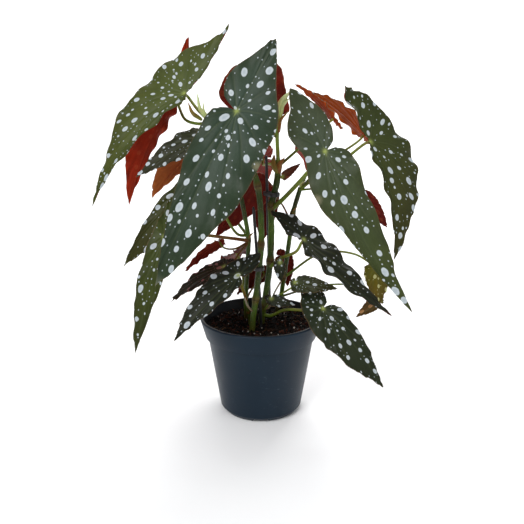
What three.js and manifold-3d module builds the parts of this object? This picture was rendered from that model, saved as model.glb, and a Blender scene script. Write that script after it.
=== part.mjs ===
// A potted polka dot begonia: a nursery pot full of soil, canes tied to two sticks, and
// angel-wing blades on their stalks. Millimetres, +Z up, the front towards -Y. The origin is the
// centre of the pot's underside.
import * as THREE from 'three';
import { mergeVertices } from 'three/addons/utils/BufferGeometryUtils.js';
import Module from 'manifold-3d';

const wasm = await Module();
wasm.setup();

// ---- Driving dimensions ----
const RIM_RADIUS = 60;
const POT_HEIGHT = 96;
const COLLAR_HEIGHT = 19;
const FOOT_RADIUS = 37;
const WALL = 1.5;
const SOIL_LEVEL = 87;
const SOIL_HOLE_DEPTH = 28;
const STRAIGHT_RISE = 8;
const BLADE_THICKNESS = 0.9;
const GAP = 0.3;

// ---- Colours, roughness ----
const POT_PLASTIC = { color: 0x2c343d, roughness: 0.45 };
const SOIL = { color: 0x1d130d, roughness: 1 };
const GREEN_STEM = { color: 0x55702a, roughness: 0.5 };
const BROWN_STEM = { color: 0x6d4a26, roughness: 0.6 };
const BLACK_PLASTIC = { color: 0x0c0c0c, roughness: 0.4 };
const LEAF_TOP = { color: 0x35432f, roughness: 0.45 };
const LEAF_RED = { color: 0x6a1a0c, roughness: 0.5 };

// ---- The plant ----
// Canes: each rises from the soil along its route, and a thinner crown goes on from its end.
const CANES = {
  cane_right: {
    radius: 3.1,
    foot: [1, -4],
    route: [[3, -4, 107], [6, -4, 127], [9, -2, 152], [10, 0, 178], [10, 0, 205], [15, 0, 228],
      [16, 0, 244]],
    crown: { radius: 1.8, route: [[15, 0, 275], [17, 0, 288]] },
    joints: [[3, -4, 107], [9, -2, 152], [10, 0, 205], [16, 0, 244]],
    bud: { tip: [27, 0, 311], radius: 4.2 },
  },
  cane_front: {
    radius: 2.8,
    foot: [-8, -23],
    route: [[-5, -22, 119], [-3, -20, 138], [0, -18, 166], [0, -15, 199], [-3, -15, 226],
      [-9, -18, 246]],
    joints: [[-5, -22, 119], [0, -17, 172], [-3, -15, 226]],
    bud: { tip: [-12, -19, 256], radius: 2.2 },
  },
  cane_left: {
    radius: 2.2,
    foot: [-15, 12],
    route: [[-15, 7, 110], [-13, 1, 150], [-12, -2, 173], [-15, -4, 195], [-22, -4, 228],
      [-32, -4, 260], [-46, -4, 284]],
    joints: [[-12, -2, 173], [-22, -4, 228], [-45, -4, 283]],
    bud: { tip: [-58, -5, 309], radius: 2.4 },
  },
  cane_rear: {
    radius: 2.3,
    foot: [17, 20],
    route: [[20, 17, 108], [23, 14, 131], [28, 14, 169], [31, 14, 195], [38, 12, 221]],
    joints: [[23, 14, 131], [31, 14, 195]],
    bud: { tip: [43, 13, 232], radius: 1.6 },
  },
  stem_low_left: {
    radius: 1.7,
    foot: [-11, -4],
    route: [[-12, -9, 102], [-14, -20, 118]],
    joints: [],
  },
};

// Blades: the navel is where the stalk meets the blade. tip is the point of the blade, and faces
// is the way the upper side looks. side is 1 or -1 for the half that is the wide one. The other
// values are fractions of the length from navel to tip, or degrees:
// wide and narrow   half widths
// lobe, lean        reach of the big lobe behind the navel, and its turn to the narrow side
// girth, inner      fullness of that lobe, on both edges and on its inner edge
// blunt             width of that lobe's end
// taper             how much the wide half narrows towards the tip
// waist             width of the wide half just past the navel, against the usual
// arch, bend        rise of the midrib above, and beside, the straight line to the tip
// droop             fall of the lobe's end below that line
// fold, curl, twist the halves raised, their edges turned down, and the turn along the midrib
// wave, waves       height of the ripple of the edges, and how many there are
// scallop, phase    depth of the notches along the edge, and where they and the ripple start
// The stalk's points lead from the cane up to the blade. underside marks a blade that shows its
// red side to the front.
const USUAL_BLADE = {
  side: 1, wide: 0.24, narrow: 0.14, lobe: 0.42, lean: 0, girth: 1, inner: 1, blunt: 1, taper: 0,
  waist: 1,
  arch: 0.06, bend: 0, droop: 0.1, fold: 6, curl: 0.1, twist: 0,
  wave: 0.016, waves: 4, phase: 0, scallop: 0.03,
  size: 'large', stalkRadius: 1.6, underside: false,
};
const BLADES = {
  leaf_front_left: {
    navel: [-20, -55, 292], tip: [-86, -95, 154], faces: [-0.1, -1, 0.25], side: -1,
    wide: 0.235, narrow: 0.13, lobe: 0.44, lean: -3.5, girth: 0.82, inner: 1.5, blunt: 0.5,
    arch: 0.05, droop: 0, phase: 5,
    cane: 'cane_front', stalk: [[-8, -18, 244], [-14, -30, 268]],
  },
  leaf_front_right: {
    navel: [54, -50, 259], tip: [127, -85, 128], faces: [0.1, -1, 0.25],
    wide: 0.14, narrow: 0.135, lobe: 0.37, arch: 0.05, droop: -0.05, bend: 0.055, phase: 2,
    taper: 0.55, girth: 1.5, scallop: 0.05,
    cane: 'cane_right', stalk: [[11, 0, 203], [18, -6, 210], [37, -28, 234]], stalkRadius: 2.1,
  },
  leaf_high_left: {
    navel: [-70, 5, 308], tip: [-157, -10, 206], faces: [-0.4, -0.85, 0.5],
    wide: 0.34, narrow: 0.07, lobe: 0.54, lean: -7, girth: 0.95, inner: 0.134, blunt: 0.42,
    taper: 0.66, waist: 0.69,
    arch: 0.09, bend: 0.03, fold: 10, droop: 0, phase: 2.4, wave: 0.014,
    cane: 'cane_left', stalk: [[-46, -4, 283], [-57, -1, 293]],
  },
  leaf_high_left_rear: {
    navel: [-84, 40, 303], tip: [-135, 45, 199], faces: [-0.5, 1, 0.3], side: -1,
    wide: 0.2, narrow: 0.07, lobe: 0.51, lean: -12, girth: 0.5, arch: 0.04, bend: 0.04, droop: 0,
    wave: 0.03, waves: 6, underside: true,
    cane: 'cane_left', stalk: [[-45, -4, 282], [-60, 10, 281], [-72, 20, 285]],
  },
  leaf_far_right: {
    navel: [100, -5, 265], tip: [123, -25, 158], faces: [0.5, -0.8, 0.25], side: -1,
    wide: 0.36, narrow: 0.06, lobe: 0.49, lean: 17, girth: 1.1, inner: 0.1, taper: 0.2,
    arch: 0.02, fold: 12, droop: 0.1, bend: 0.1, wave: 0.022,
    cane: 'cane_rear', stalk: [[37, 12, 219], [53, 8, 232], [70, 4, 242]],
  },
  leaf_high_right: {
    navel: [67, 8, 285], tip: [31, 30, 318], faces: [0.3, 0.6, 0.8], side: -1, size: 'small',
    wide: 0.12, narrow: 0.14, lobe: 0.25, underside: true,
    cane: 'cane_right', stalk: [[16, 0, 242], [33, -2, 257], [48, 2, 272]], stalkRadius: 1.3,
  },
  leaf_high_right_rear: {
    navel: [98, 20, 270], tip: [47, 35, 310], faces: [0.3, 0.4, 0.8], side: -1, size: 'small',
    wide: 0.28, narrow: 0.2, lobe: 0.2, underside: true,
    cane: 'cane_rear', stalk: [[38, 12, 220], [62, 16, 244], [84, 20, 258]], stalkRadius: 1.3,
  },
  leaf_crown_rear: {
    navel: [-18, 24, 286], tip: [-64, 50, 187], faces: [-0.2, 0.9, 0.4],
    wide: 0.214, narrow: 0.14, lobe: 0.52, lean: -7, girth: 2.3, inner: 1.45, droop: 0,
    underside: true, phase: 3,
    cane: 'cane_right', stalk: [[15, 0, 270], [0, 6, 275]],
  },
  leaf_mid_left_upper: {
    navel: [-50, -14, 271], tip: [-112, -25, 235], faces: [-0.1, -0.8, 0.6], side: -1,
    size: 'small', wide: 0.17, narrow: 0.18, lobe: 0.2,
    cane: 'cane_left', stalk: [[-23, -4, 232], [-38, -6, 250]], stalkRadius: 1.2,
  },
  leaf_mid_left_lower: {
    navel: [-64, -2, 256], tip: [-101, -10, 214], faces: [-0.2, 0.8, 0.5], side: -1,
    size: 'small', wide: 0.32, narrow: 0.14, lobe: 0.2, underside: true,
    cane: 'cane_left', stalk: [[-22, -4, 228], [-44, -8, 244]], stalkRadius: 1.2,
  },
  leaf_left_upper: {
    navel: [-52, -26, 235], tip: [-123, -44, 157], faces: [-0.3, -1, 0.3], side: -1,
    wide: 0.2, narrow: 0.1, lobe: 0.3, bend: -0.03, phase: 4,
    cane: 'cane_left', stalk: [[-13, -2, 177], [-22, -10, 180], [-36, -20, 205]],
    stalkRadius: 1.3,
  },
  leaf_left_lower: {
    navel: [-82, -62, 188], tip: [-109, -78, 88], faces: [-0.2, -1, 0.2],
    wide: 0.115, narrow: 0.1, lobe: 0.36, droop: 0, phase: 5,
    cane: 'cane_left', stalk: [[-12, -2, 172], [-32, -22, 179], [-60, -52, 188]],
  },
  leaf_inner_right: {
    navel: [39, -30, 179], tip: [116, -60, 116], faces: [0.2, -0.75, 1], side: -1,
    wide: 0.19, narrow: 0.075, lobe: 0.38, inner: 0.8, droop: 0, bend: -0.09, taper: 0.2,
    phase: 1, wave: 0.03,
    cane: 'cane_right', stalk: [[8, -3, 146], [20, -14, 158], [33, -25, 167]],
  },
  leaf_small_right: {
    navel: [106, -33, 154], tip: [110, -37, 119], faces: [0.1, -1, 0.1], size: 'small',
    wide: 0.34, narrow: 0.28, lobe: 0.2,
    cane: 'cane_rear', stalk: [[23, 14, 131], [58, 4, 158], [88, -16, 162]], stalkRadius: 1.2,
  },
  leaf_small_right_low: {
    navel: [111, -30, 120], tip: [88, -38, 107], faces: [0, -1, 0.1], size: 'small',
    wide: 0.3, narrow: 0.16, lobe: 0.15, underside: true,
    cane: 'cane_rear', stalk: [[20, 17, 110], [62, 10, 124], [98, -12, 128]], stalkRadius: 1,
  },
  leaf_low_right: {
    navel: [58, -30, 113], tip: [112, -60, 47], faces: [0.3, -0.9, 0.5],
    wide: 0.25, narrow: 0.15, lobe: 0.34, droop: 0, phase: 2,
    cane: 'cane_right', stalk: [[2, -4, 98], [10, -10, 99], [23, -16, 107], [42, -24, 109]],
  },
  leaf_low_centre: {
    navel: [32, -25, 137], tip: [71, -35, 134], faces: [0, -0.8, 0.6], size: 'small',
    wide: 0.24, narrow: 0.18, lobe: 0.12,
    cane: 'cane_right', stalk: [[3, -4, 108], [17, -12, 120], [27, -20, 129]], stalkRadius: 1.1,
  },
  leaf_lowest: {
    navel: [10, -15, 118], tip: [33, -20, 113], faces: [0, -0.8, 0.5], size: 'small',
    wide: 0.3, narrow: 0.2, lobe: 0.3,
    cane: 'cane_right', stalk: [[2, -4, 100], [6, -9, 108]], stalkRadius: 1,
  },
  leaf_low_left: {
    navel: [-20, -55, 152], tip: [-74, -85, 102], faces: [-0.2, -0.8, 0.6],
    wide: 0.2, narrow: 0.12, lobe: 0.36, phase: 3,
    cane: 'stem_low_left', stalk: [[-12, -9, 102], [-14, -20, 118], [-17, -38, 136]],
  },
  leaf_inner_left: {
    navel: [-34, -28, 153], tip: [-83, -35, 121], faces: [-0.1, -0.35, 0.9],
    wide: 0.22, narrow: 0.2, lobe: 0.2, size: 'small', phase: 2,
    cane: 'cane_left', stalk: [[-12, -2, 170], [-20, -8, 162], [-29, -20, 149]], stalkRadius: 1.2,
  },
  leaf_inner_left_upper: {
    navel: [-38, -22, 175], tip: [-72, -22, 146], faces: [-0.2, 0.6, 0.6], size: 'small',
    wide: 0.2, narrow: 0.12, lobe: 0.1, underside: true,
    cane: 'cane_left', stalk: [[-12, -2, 171], [-24, -10, 166]], stalkRadius: 1,
  },
  leaf_centre_hanging: {
    navel: [18, -20, 155], tip: [19, -24, 137], faces: [0, -1, 0.1], size: 'small',
    wide: 0.34, narrow: 0.26, lobe: 0.2,
    cane: 'cane_right', stalk: [[20, -14, 158], [19, -17, 158]], stalkRadius: 0.8,
  },
  leaf_rear_centre: {
    navel: [-4, 16, 226], tip: [-46, 26, 170], faces: [-0.2, 0.9, 0.3], size: 'small',
    wide: 0.3, narrow: 0.2, lobe: 0.15, underside: true,
    cane: 'cane_front', stalk: [[-2, -15, 216], [-4, 0, 218]], stalkRadius: 1.2,
  },
  leaf_rear_low: {
    navel: [3, 34, 214], tip: [0, 52, 158], faces: [0.1, 0.9, 0.3], size: 'small',
    wide: 0.26, narrow: 0.2, lobe: 0.25, underside: true,
    cane: 'cane_rear', stalk: [[30, 14, 186], [20, 26, 204], [10, 32, 212]], stalkRadius: 1,
  },
  leaf_rear_right: {
    navel: [21, 36, 148], tip: [28, 44, 112], faces: [0.1, 0.9, 0.4], size: 'small',
    wide: 0.3, narrow: 0.2, lobe: 0.22, underside: true,
    cane: 'cane_rear', stalk: [[23, 14, 131], [24, 21, 140]], stalkRadius: 1,
  },
  leaf_rear_rim: {
    navel: [2, 34, 132], tip: [-26, 42, 104], faces: [0, 0.85, 0.5], size: 'small',
    wide: 0.3, narrow: 0.24, lobe: 0.25, underside: true,
    cane: 'cane_left', stalk: [[-15, 8, 108], [-10, 18, 116]], stalkRadius: 1,
  },
  leaf_right_shaded: {
    navel: [90, -24, 216], tip: [114, -32, 190], faces: [0, 1, 0.2], size: 'small',
    wide: 0.28, narrow: 0.2, lobe: 0.2, underside: true,
    cane: 'cane_rear', stalk: [[38, 12, 219], [58, -4, 222], [78, -22, 220]], stalkRadius: 1,
  },
  leaf_newest: {
    navel: [20, -3, 233], tip: [37, -6, 246], faces: [0.2, -1, 0.4], size: 'small',
    wide: 0.2, narrow: 0.16, lobe: 0.1, underside: true,
    cane: 'cane_right', stalk: [[15, 0, 228], [17, 0, 231]], stalkRadius: 0.8,
  },
  leaf_back_left: {
    navel: [-56, 72, 232], tip: [-104, 132, 146], faces: [-0.5, 0.8, 0.6],
    wide: 0.24, narrow: 0.15, lobe: 0.36, phase: 1,
    cane: 'cane_left', stalk: [[-12, -2, 174], [-13, 26, 170], [-38, 62, 198]],
  },
  leaf_back_centre: {
    navel: [2, 78, 244], tip: [-6, 146, 190], faces: [0, 0.5, 0.8], side: -1,
    wide: 0.25, narrow: 0.16, lobe: 0.36, phase: 4,
    cane: 'cane_right', stalk: [[15, 0, 232], [14, 30, 240], [6, 58, 240]],
  },
  leaf_back_right: {
    navel: [60, 40, 255], tip: [105, 105, 160], faces: [0.5, 0.8, 0.6], side: -1,
    wide: 0.24, narrow: 0.15, lobe: 0.42, phase: 5,
    cane: 'cane_rear', stalk: [[37, 12, 218], [46, 24, 236]],
  },
  leaf_back_low_left: {
    navel: [-25, 40, 150], tip: [-55, 88, 106], faces: [-0.4, 0.6, 0.8],
    wide: 0.22, narrow: 0.15, lobe: 0.36, size: 'small', phase: 2,
    cane: 'cane_left', stalk: [[-15, 6, 112], [-18, 20, 130]],
  },
};

// Bracts: papery sheaths left at the joints of the canes, each a pointed spindle.
const BRACTS = [
  { cane: 'cane_right', from: [16, -1, 273], to: [25, -3, 293], radius: 1.9 },
  { cane: 'cane_right', from: [16, -1, 236], to: [12, -3, 254], radius: 3.8 },
  { cane: 'cane_right', from: [16, -1, 236], to: [22, -3, 251], radius: 3.4 },
  { cane: 'cane_left', from: [-54, -1, 284], to: [-66, -6, 300], radius: 2.3 },
  { cane: 'cane_left', from: [-12, -2, 171], to: [-7, -5, 181], radius: 1.5 },
  { cane: 'cane_front', from: [0, -16, 172], to: [5, -18, 180], radius: 1.5 },
  { cane: 'cane_rear', from: [31, 14, 194], to: [35, 11, 203], radius: 1.4 },
];

// Dry stalks whose blades have fallen off.
const DRY_STALKS = [
  { cane: 'cane_right', points: [[3, -4, 103], [8, -11, 108], [13, -10, 122], [19, -9, 133]] },
  { cane: 'cane_front', points: [[-6, -22, 106], [-12, -28, 114], [-15, -32, 124]] },
];
const DRY_STALK_RADIUS = 1;

// Sticks and ties that hold the canes up.
const STICK_RADIUS = 1.4;
const STICKS = {
  stick_rear: { foot: [9, 12], top: [5, 7, 252] },
  stick_front: { foot: [0, -11], top: [-7, -10, 206] },
};

const TIES = {
  tie_upper: { height: 216, around: ['cane_right', 'stick_rear'] },
  tie_lower: { height: 149, around: ['cane_front', 'stick_front'] },
};
const TIE_WIDTH = 4;
const TIE_THICKNESS = 1.4;
const TIE_CLEARANCE = 1;

// ---- Solids ----
const Z_AXIS = new THREE.Vector3(0, 0, 1);
const vector = (place) => new THREE.Vector3(...place);

// The closed solid of a geometry: shared corners merged, slivers without area left out.
function toSolid(geometry) {
  geometry.deleteAttribute('normal');
  geometry.deleteAttribute('uv');
  const merged = mergeVertices(geometry, 1e-4);
  const corners = merged.index.array;
  const kept = [];
  for (let i = 0; i < corners.length; i += 3) {
    const [a, b, c] = corners.slice(i, i + 3);
    if (a !== b && b !== c && c !== a) kept.push(a, b, c);
  }
  return new wasm.Manifold(new wasm.Mesh({
    numProp: 3,
    vertProperties: new Float32Array(merged.attributes.position.array),
    triVerts: new Uint32Array(kept),
  }));
}

function toMesh(solid, name, finish) {
  const { vertProperties, triVerts } = solid.getMesh();
  const geometry = new THREE.BufferGeometry();
  geometry.setAttribute('position', new THREE.BufferAttribute(vertProperties, 3));
  geometry.setIndex(new THREE.BufferAttribute(triVerts, 1));
  geometry.computeVertexNormals();
  const mesh = new THREE.Mesh(geometry, new THREE.MeshStandardMaterial({ metalness: 0, ...finish }));
  mesh.name = name;
  return mesh;
}

const joined = (solids) => solids.reduce((whole, solid) => whole.add(solid));
const cut = (solid, tools) => tools.reduce((rest, tool) => rest.subtract(tool), solid);

// An upright round bar.
function upright([x, y], radius, bottom, top, sides = 8) {
  const bar = new THREE.CylinderGeometry(radius, radius, top - bottom, sides);
  bar.rotateX(Math.PI / 2);
  bar.translate(x, y, (bottom + top) / 2);
  return toSolid(bar);
}

const STALK_SIDES = 5;
const STALK_STEP = 13;
const CANE_SIDES = 7;
const CANE_STEP = 15;
const STICK_SIDES = 6;
const STICK_STEP = 20;

// A round stem along a smooth line through the points.
function stem(points, radius, sides = STALK_SIDES, stepLength = STALK_STEP) {
  const line = new THREE.CatmullRomCurve3(points, false, 'centripetal');
  const ring = new THREE.Shape();
  for (let i = 0; i < sides; i += 1) {
    const angle = (2 * Math.PI * i) / sides;
    const corner = [radius * Math.cos(angle), radius * Math.sin(angle)];
    if (i === 0) ring.moveTo(...corner);
    else ring.lineTo(...corner);
  }
  const steps = Math.max(2, Math.round(line.getLength() / stepLength));
  return toSolid(new THREE.ExtrudeGeometry(ring, { steps, extrudePath: line, bevelEnabled: false }));
}

const KNOB_SIDES = 7;
const KNOB_BANDS = 4;

// A ball stretched along a line, for a swollen joint.
function knob(centre, along, radius, stretch) {
  const ball = new THREE.SphereGeometry(radius, KNOB_SIDES, KNOB_BANDS);
  ball.scale(1, stretch, 1);
  const turn = new THREE.Quaternion().setFromUnitVectors(new THREE.Vector3(0, 1, 0), along);
  ball.applyQuaternion(turn);
  ball.translate(centre.x, centre.y, centre.z);
  return toSolid(ball);
}

// The outline of a bud: shares of its radius and of its length.
const SPINDLE = [[0, 0], [0.8, 0.08], [1, 0.35], [0.55, 0.75], [0, 1]];
const SPINDLE_SIDES = 8;

// A pointed spindle from one point to another, for a bud.
function spindle(from, to, radius) {
  const length = from.distanceTo(to);
  const profile = SPINDLE.map(([r, t]) => new THREE.Vector2(r * radius, t * length));
  const turned = new THREE.LatheGeometry(profile, SPINDLE_SIDES);
  const along = to.clone().sub(from).normalize();
  turned.applyQuaternion(new THREE.Quaternion().setFromUnitVectors(new THREE.Vector3(0, 1, 0), along));
  turned.translate(from.x, from.y, from.z);
  return toSolid(turned);
}

// A body of revolution about +Z from [radius, height] corners that close on themselves.
function turnedBody(corners, sides) {
  const profile = [...corners, corners[0]].map(([r, z]) => new THREE.Vector2(r, z));
  const body = new THREE.LatheGeometry(profile, sides);
  body.rotateX(Math.PI / 2);
  return toSolid(body);
}

// ---- Pot ----
const POT_SIDES = 40;
const CENTRE_SIDES = 24;
const CHAMFER = 4.8;
const CHAMFER_WIDTH = 4;
const LEDGE = 0.8;
const FOOT_WIDTH = 3;
const BASE_LIFT = 2.6;
const BASE_THICKNESS = 2;
const CENTRE_RADIUS = 16;
const BODY_TOP_RADIUS = 52.5;
const COLLAR_FOOT_RADIUS = 55;
const LIP_ROUND = 1.2;
const LIP_WIDTH = 2.6;
const NOTCHES = 4;
const NOTCH_WIDTH = 15;
const NOTCH_FLARE = 1;
const HOLES = 6;
const HOLE_RADIUS = 3.5;
const HOLE_CIRCLE = 25;
const bodyFootRadius = FOOT_RADIUS + CHAMFER_WIDTH;
const collarFoot = POT_HEIGHT - COLLAR_HEIGHT;
const floorTop = BASE_LIFT + BASE_THICKNESS;
const soilFootRadius = bodyFootRadius - WALL;
const wallInside = BODY_TOP_RADIUS - WALL;
const straightTop = SOIL_LEVEL + STRAIGHT_RISE;
const stemBottom = SOIL_LEVEL - SOIL_HOLE_DEPTH + GAP;

function pot() {
  const shell = turnedBody([
    [FOOT_RADIUS - FOOT_WIDTH, 0], [FOOT_RADIUS, 0], [bodyFootRadius, CHAMFER],
    [BODY_TOP_RADIUS, collarFoot - LEDGE], [COLLAR_FOOT_RADIUS, collarFoot],
    [RIM_RADIUS, POT_HEIGHT - LIP_ROUND], [RIM_RADIUS - LIP_ROUND, POT_HEIGHT],
    [RIM_RADIUS - LIP_WIDTH, POT_HEIGHT], [wallInside, collarFoot],
    [soilFootRadius, floorTop + 2], [CENTRE_RADIUS, floorTop], [CENTRE_RADIUS, BASE_LIFT],
    [FOOT_RADIUS - FOOT_WIDTH, BASE_LIFT],
  ], POT_SIDES);
  const centre = upright([0, 0], CENTRE_RADIUS + 0.5, 0, floorTop, CENTRE_SIDES);
  const drains = [];
  for (let i = 0; i < NOTCHES; i += 1) {
    const notch = new THREE.CylinderGeometry(
      NOTCH_WIDTH / 2 - NOTCH_FLARE, NOTCH_WIDTH / 2 + NOTCH_FLARE, BASE_LIFT * 2,
      4, 1, false, Math.PI / 4);
    notch.rotateX(Math.PI / 2);
    notch.translate(0, -FOOT_RADIUS + 1, 0);
    notch.rotateZ((2 * Math.PI * i) / NOTCHES);
    drains.push(toSolid(notch));
  }
  for (let i = 0; i < HOLES; i += 1) {
    const angle = (2 * Math.PI * i) / HOLES;
    const place = [HOLE_CIRCLE * Math.cos(angle), HOLE_CIRCLE * Math.sin(angle)];
    drains.push(upright(place, HOLE_RADIUS, -1, floorTop + 3));
  }
  return toMesh(cut(joined([shell, centre]), drains), 'pot', POT_PLASTIC);
}

// ---- Soil ----
const SOIL_SIDES = 28;
// The soil's top from the wall to the middle: radius, then height over its level.
const SOIL_TOP = [[46, -0.5], [34, 0.4], [20, 1.5], [0, 1.5]];
const standing = [
  ...Object.values(CANES).map(({ foot, radius }) => ({ foot, radius })),
  ...Object.values(STICKS).map(({ foot }) => ({ foot, radius: STICK_RADIUS })),
];

// Radius of the pot's inside at a height, less the gap that the soil keeps to it.
function soilRadius(height) {
  const up = (height - floorTop - 2) / (collarFoot - floorTop - 2);
  const above = (height - collarFoot) / (POT_HEIGHT - collarFoot);
  const lipInside = RIM_RADIUS - LIP_WIDTH;
  const radius = above > 0
    ? wallInside + (lipInside - wallInside) * above
    : soilFootRadius + (wallInside - soilFootRadius) * up;
  return radius - 2 * GAP;
}

function soil() {
  const bottom = floorTop + 2 + GAP;
  const body = turnedBody([
    [0, bottom], [soilRadius(bottom), bottom], [soilRadius(collarFoot), collarFoot],
    [soilRadius(SOIL_LEVEL - 1), SOIL_LEVEL - 1],
    ...SOIL_TOP.map(([radius, rise]) => [radius, SOIL_LEVEL + rise]),
  ], SOIL_SIDES);
  const holes = standing.map(({ foot, radius }) => upright(
    foot, radius + GAP, SOIL_LEVEL - SOIL_HOLE_DEPTH, straightTop));
  return toMesh(cut(body, holes), 'soil', SOIL);
}

// ---- Blades ----
const SIZES = {
  large: { perSpan: 2, rings: 2, scallops: 9 },
  small: { perSpan: 1, rings: 2, scallops: 5 },
};
const SINUS = 12;
const SINUS_PLACE = [-0.0024, -0.0168];
const CORNER_PULL = 0.6;

// Corners of the flat blade, once around from the tip by the wide side, in blade lengths.
function corners({ wide, narrow, lobe, lean, girth, inner, taper, blunt, waist }) {
  const turn = new THREE.Vector2();
  const turned = (x, y) => {
    turn.set(x, y).rotateAround(new THREE.Vector2(), THREE.MathUtils.degToRad(lean));
    return [turn.x, turn.y];
  };
  const outerEdge = wide * girth;
  const innerEdge = wide * girth * inner;
  return [
    [1, 0], [0.86, 0.3 * wide * (1 - taper)], [0.64, 0.7 * wide * (1 - taper)],
    [0.42, 0.95 * wide * (1 - taper / 2)], [0.2, 1.03 * wide * waist],
    [-0.03, 0.93 * wide],
    turned(-0.5 * lobe, 0.64 * outerEdge), turned(-0.86 * lobe, 0.3 * outerEdge * blunt),
    turned(-lobe, 0),
    turned(-0.8 * lobe, -0.28 * innerEdge * blunt), turned(-0.42 * lobe, -0.44 * innerEdge),
    turned(-0.12 * lobe, -0.36 * innerEdge),
    SINUS_PLACE,
    [0.02, -0.66 * narrow], [0.1, -1.02 * narrow], [0.32, -narrow], [0.6, -0.7 * narrow],
    [0.84, -0.28 * narrow],
  ].map(([x, y]) => new THREE.Vector2(x, y));
}

// The smooth edge through the corners, sharp at the tip and at the sinus, lightly scalloped.
function edge(blade, perSpan, scallops) {
  const points = corners(blade);
  const count = points.length;
  const sharp = (i) => i % count === 0 || i === SINUS;
  const line = [];
  for (let i = 0; i < count; i += 1) {
    const from = points[i];
    const to = points[(i + 1) % count];
    const pull = to.clone().sub(from).multiplyScalar(CORNER_PULL);
    const before = sharp(i) ? from.clone().sub(pull) : points[(i + count - 1) % count];
    const after = sharp(i + 1) ? to.clone().add(pull) : points[(i + 2) % count];
    const span = new THREE.SplineCurve([before, from, to, after]);
    for (let j = 0; j < perSpan; j += 1) {
      const along = (i + j / perSpan) / count;
      const ripple = Math.sin(2 * Math.PI * scallops * along + blade.phase);
      const fade = Math.sin(Math.PI * along) ** 0.5;
      const swell = 1 + blade.scallop * ripple * fade;
      line.push(span.getPoint((1 + j / perSpan) / 3).multiplyScalar(swell));
    }
  }
  return line;
}

// Places points of the flat blade in space.
function placer(blade) {
  const navel = vector(blade.navel);
  const chord = vector(blade.tip).sub(navel);
  const length = chord.length();
  chord.normalize();
  const normal = vector(blade.faces);
  normal.addScaledVector(chord, -normal.dot(chord)).normalize();
  const across = chord.clone().cross(normal).multiplyScalar(blade.side);
  const fold = THREE.MathUtils.degToRad(blade.fold);
  const twist = THREE.MathUtils.degToRad(blade.twist) * blade.side;
  const bowed = (height, t) => (t >= 0
    ? 4 * height * t * (1 - t)
    : 1.6 * height * t * (1 + t / blade.lobe));

  const upAt = (t) => normal.clone().multiplyScalar(Math.cos(twist * t))
    .addScaledVector(across, -Math.sin(twist * t));
  const place = (x, y) => {
    const sag = x < 0 ? (blade.droop * x * x) / blade.lobe : 0;
    const sideways = across.clone().multiplyScalar(Math.cos(twist * x))
      .addScaledVector(normal, Math.sin(twist * x));
    const reach = Math.abs(y);
    const part = reach / (y > 0 ? blade.wide : blade.narrow);
    const rippleTurn = blade.phase + (y < 0 ? 1.3 : 0);
    const ripple = Math.sin(2 * Math.PI * blade.waves * x + rippleTurn);
    const lift = reach * Math.sin(fold) - (blade.curl * y * y) / 0.25
      + blade.wave * Math.min(part, 1.2) ** 2 * ripple;
    return navel.clone()
      .addScaledVector(chord, x * length)
      .addScaledVector(normal, (bowed(blade.arch, x) - sag) * length)
      .addScaledVector(across, bowed(blade.bend, x) * length)
      .addScaledVector(sideways, y * Math.cos(fold) * length)
      .addScaledVector(upAt(x), lift * length);
  };
  return { place, upAt, normal, length };
}

// A thin closed blade: rings of points around the navel, the same on both faces.
function bladeSolid(blade) {
  const { perSpan, rings, scallops } = SIZES[blade.size];
  const rim = edge(blade, perSpan, scallops);
  const { place, upAt } = placer(blade);
  const positions = [];
  const faces = [];
  const count = rim.length;
  const perFace = 1 + rings * count;
  for (const half of [BLADE_THICKNESS / 2, -BLADE_THICKNESS / 2]) {
    const flat = [new THREE.Vector2()];
    for (let ring = 1; ring <= rings; ring += 1) {
      for (const point of rim) flat.push(point.clone().multiplyScalar(ring / rings));
    }
    for (const { x, y } of flat) positions.push(...place(x, y).addScaledVector(upAt(x), half));
  }
  const at = (ring, i) => 1 + (ring - 1) * count + (i % count);
  const add = (a, b, c) => faces.push(...(blade.side > 0 ? [a, c, b] : [a, b, c]));
  const addBoth = (a, b, c) => {
    add(a, b, c);
    add(perFace + c, perFace + b, perFace + a);
  };
  for (let i = 0; i < count; i += 1) {
    addBoth(0, at(1, i), at(1, i + 1));
    for (let ring = 1; ring < rings; ring += 1) {
      addBoth(at(ring, i), at(ring + 1, i), at(ring + 1, i + 1));
      addBoth(at(ring, i), at(ring + 1, i + 1), at(ring, i + 1));
    }
    const outer = at(rings, i);
    const next = at(rings, i + 1);
    add(outer, perFace + outer, perFace + next);
    add(outer, perFace + next, next);
  }
  const geometry = new THREE.BufferGeometry();
  geometry.setAttribute('position', new THREE.Float32BufferAttribute(positions, 3));
  geometry.setIndex(faces);
  return toSolid(geometry);
}

// ---- Canes and stalks ----
const STALK_APPROACH = 7;
const JOINT_SWELL = 1.4;
const JOINT_STRETCH = 1.3;
const NECK_SWELL = 1.15;

function stalk(blade) {
  const { normal } = placer(blade);
  const navel = vector(blade.navel);
  const end = navel.clone().addScaledVector(normal, -BLADE_THICKNESS / 2 - GAP);
  const approach = navel.clone().addScaledVector(normal, -STALK_APPROACH);
  return stem([...blade.stalk.map(vector), approach, end], blade.stalkRadius);
}

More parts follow.
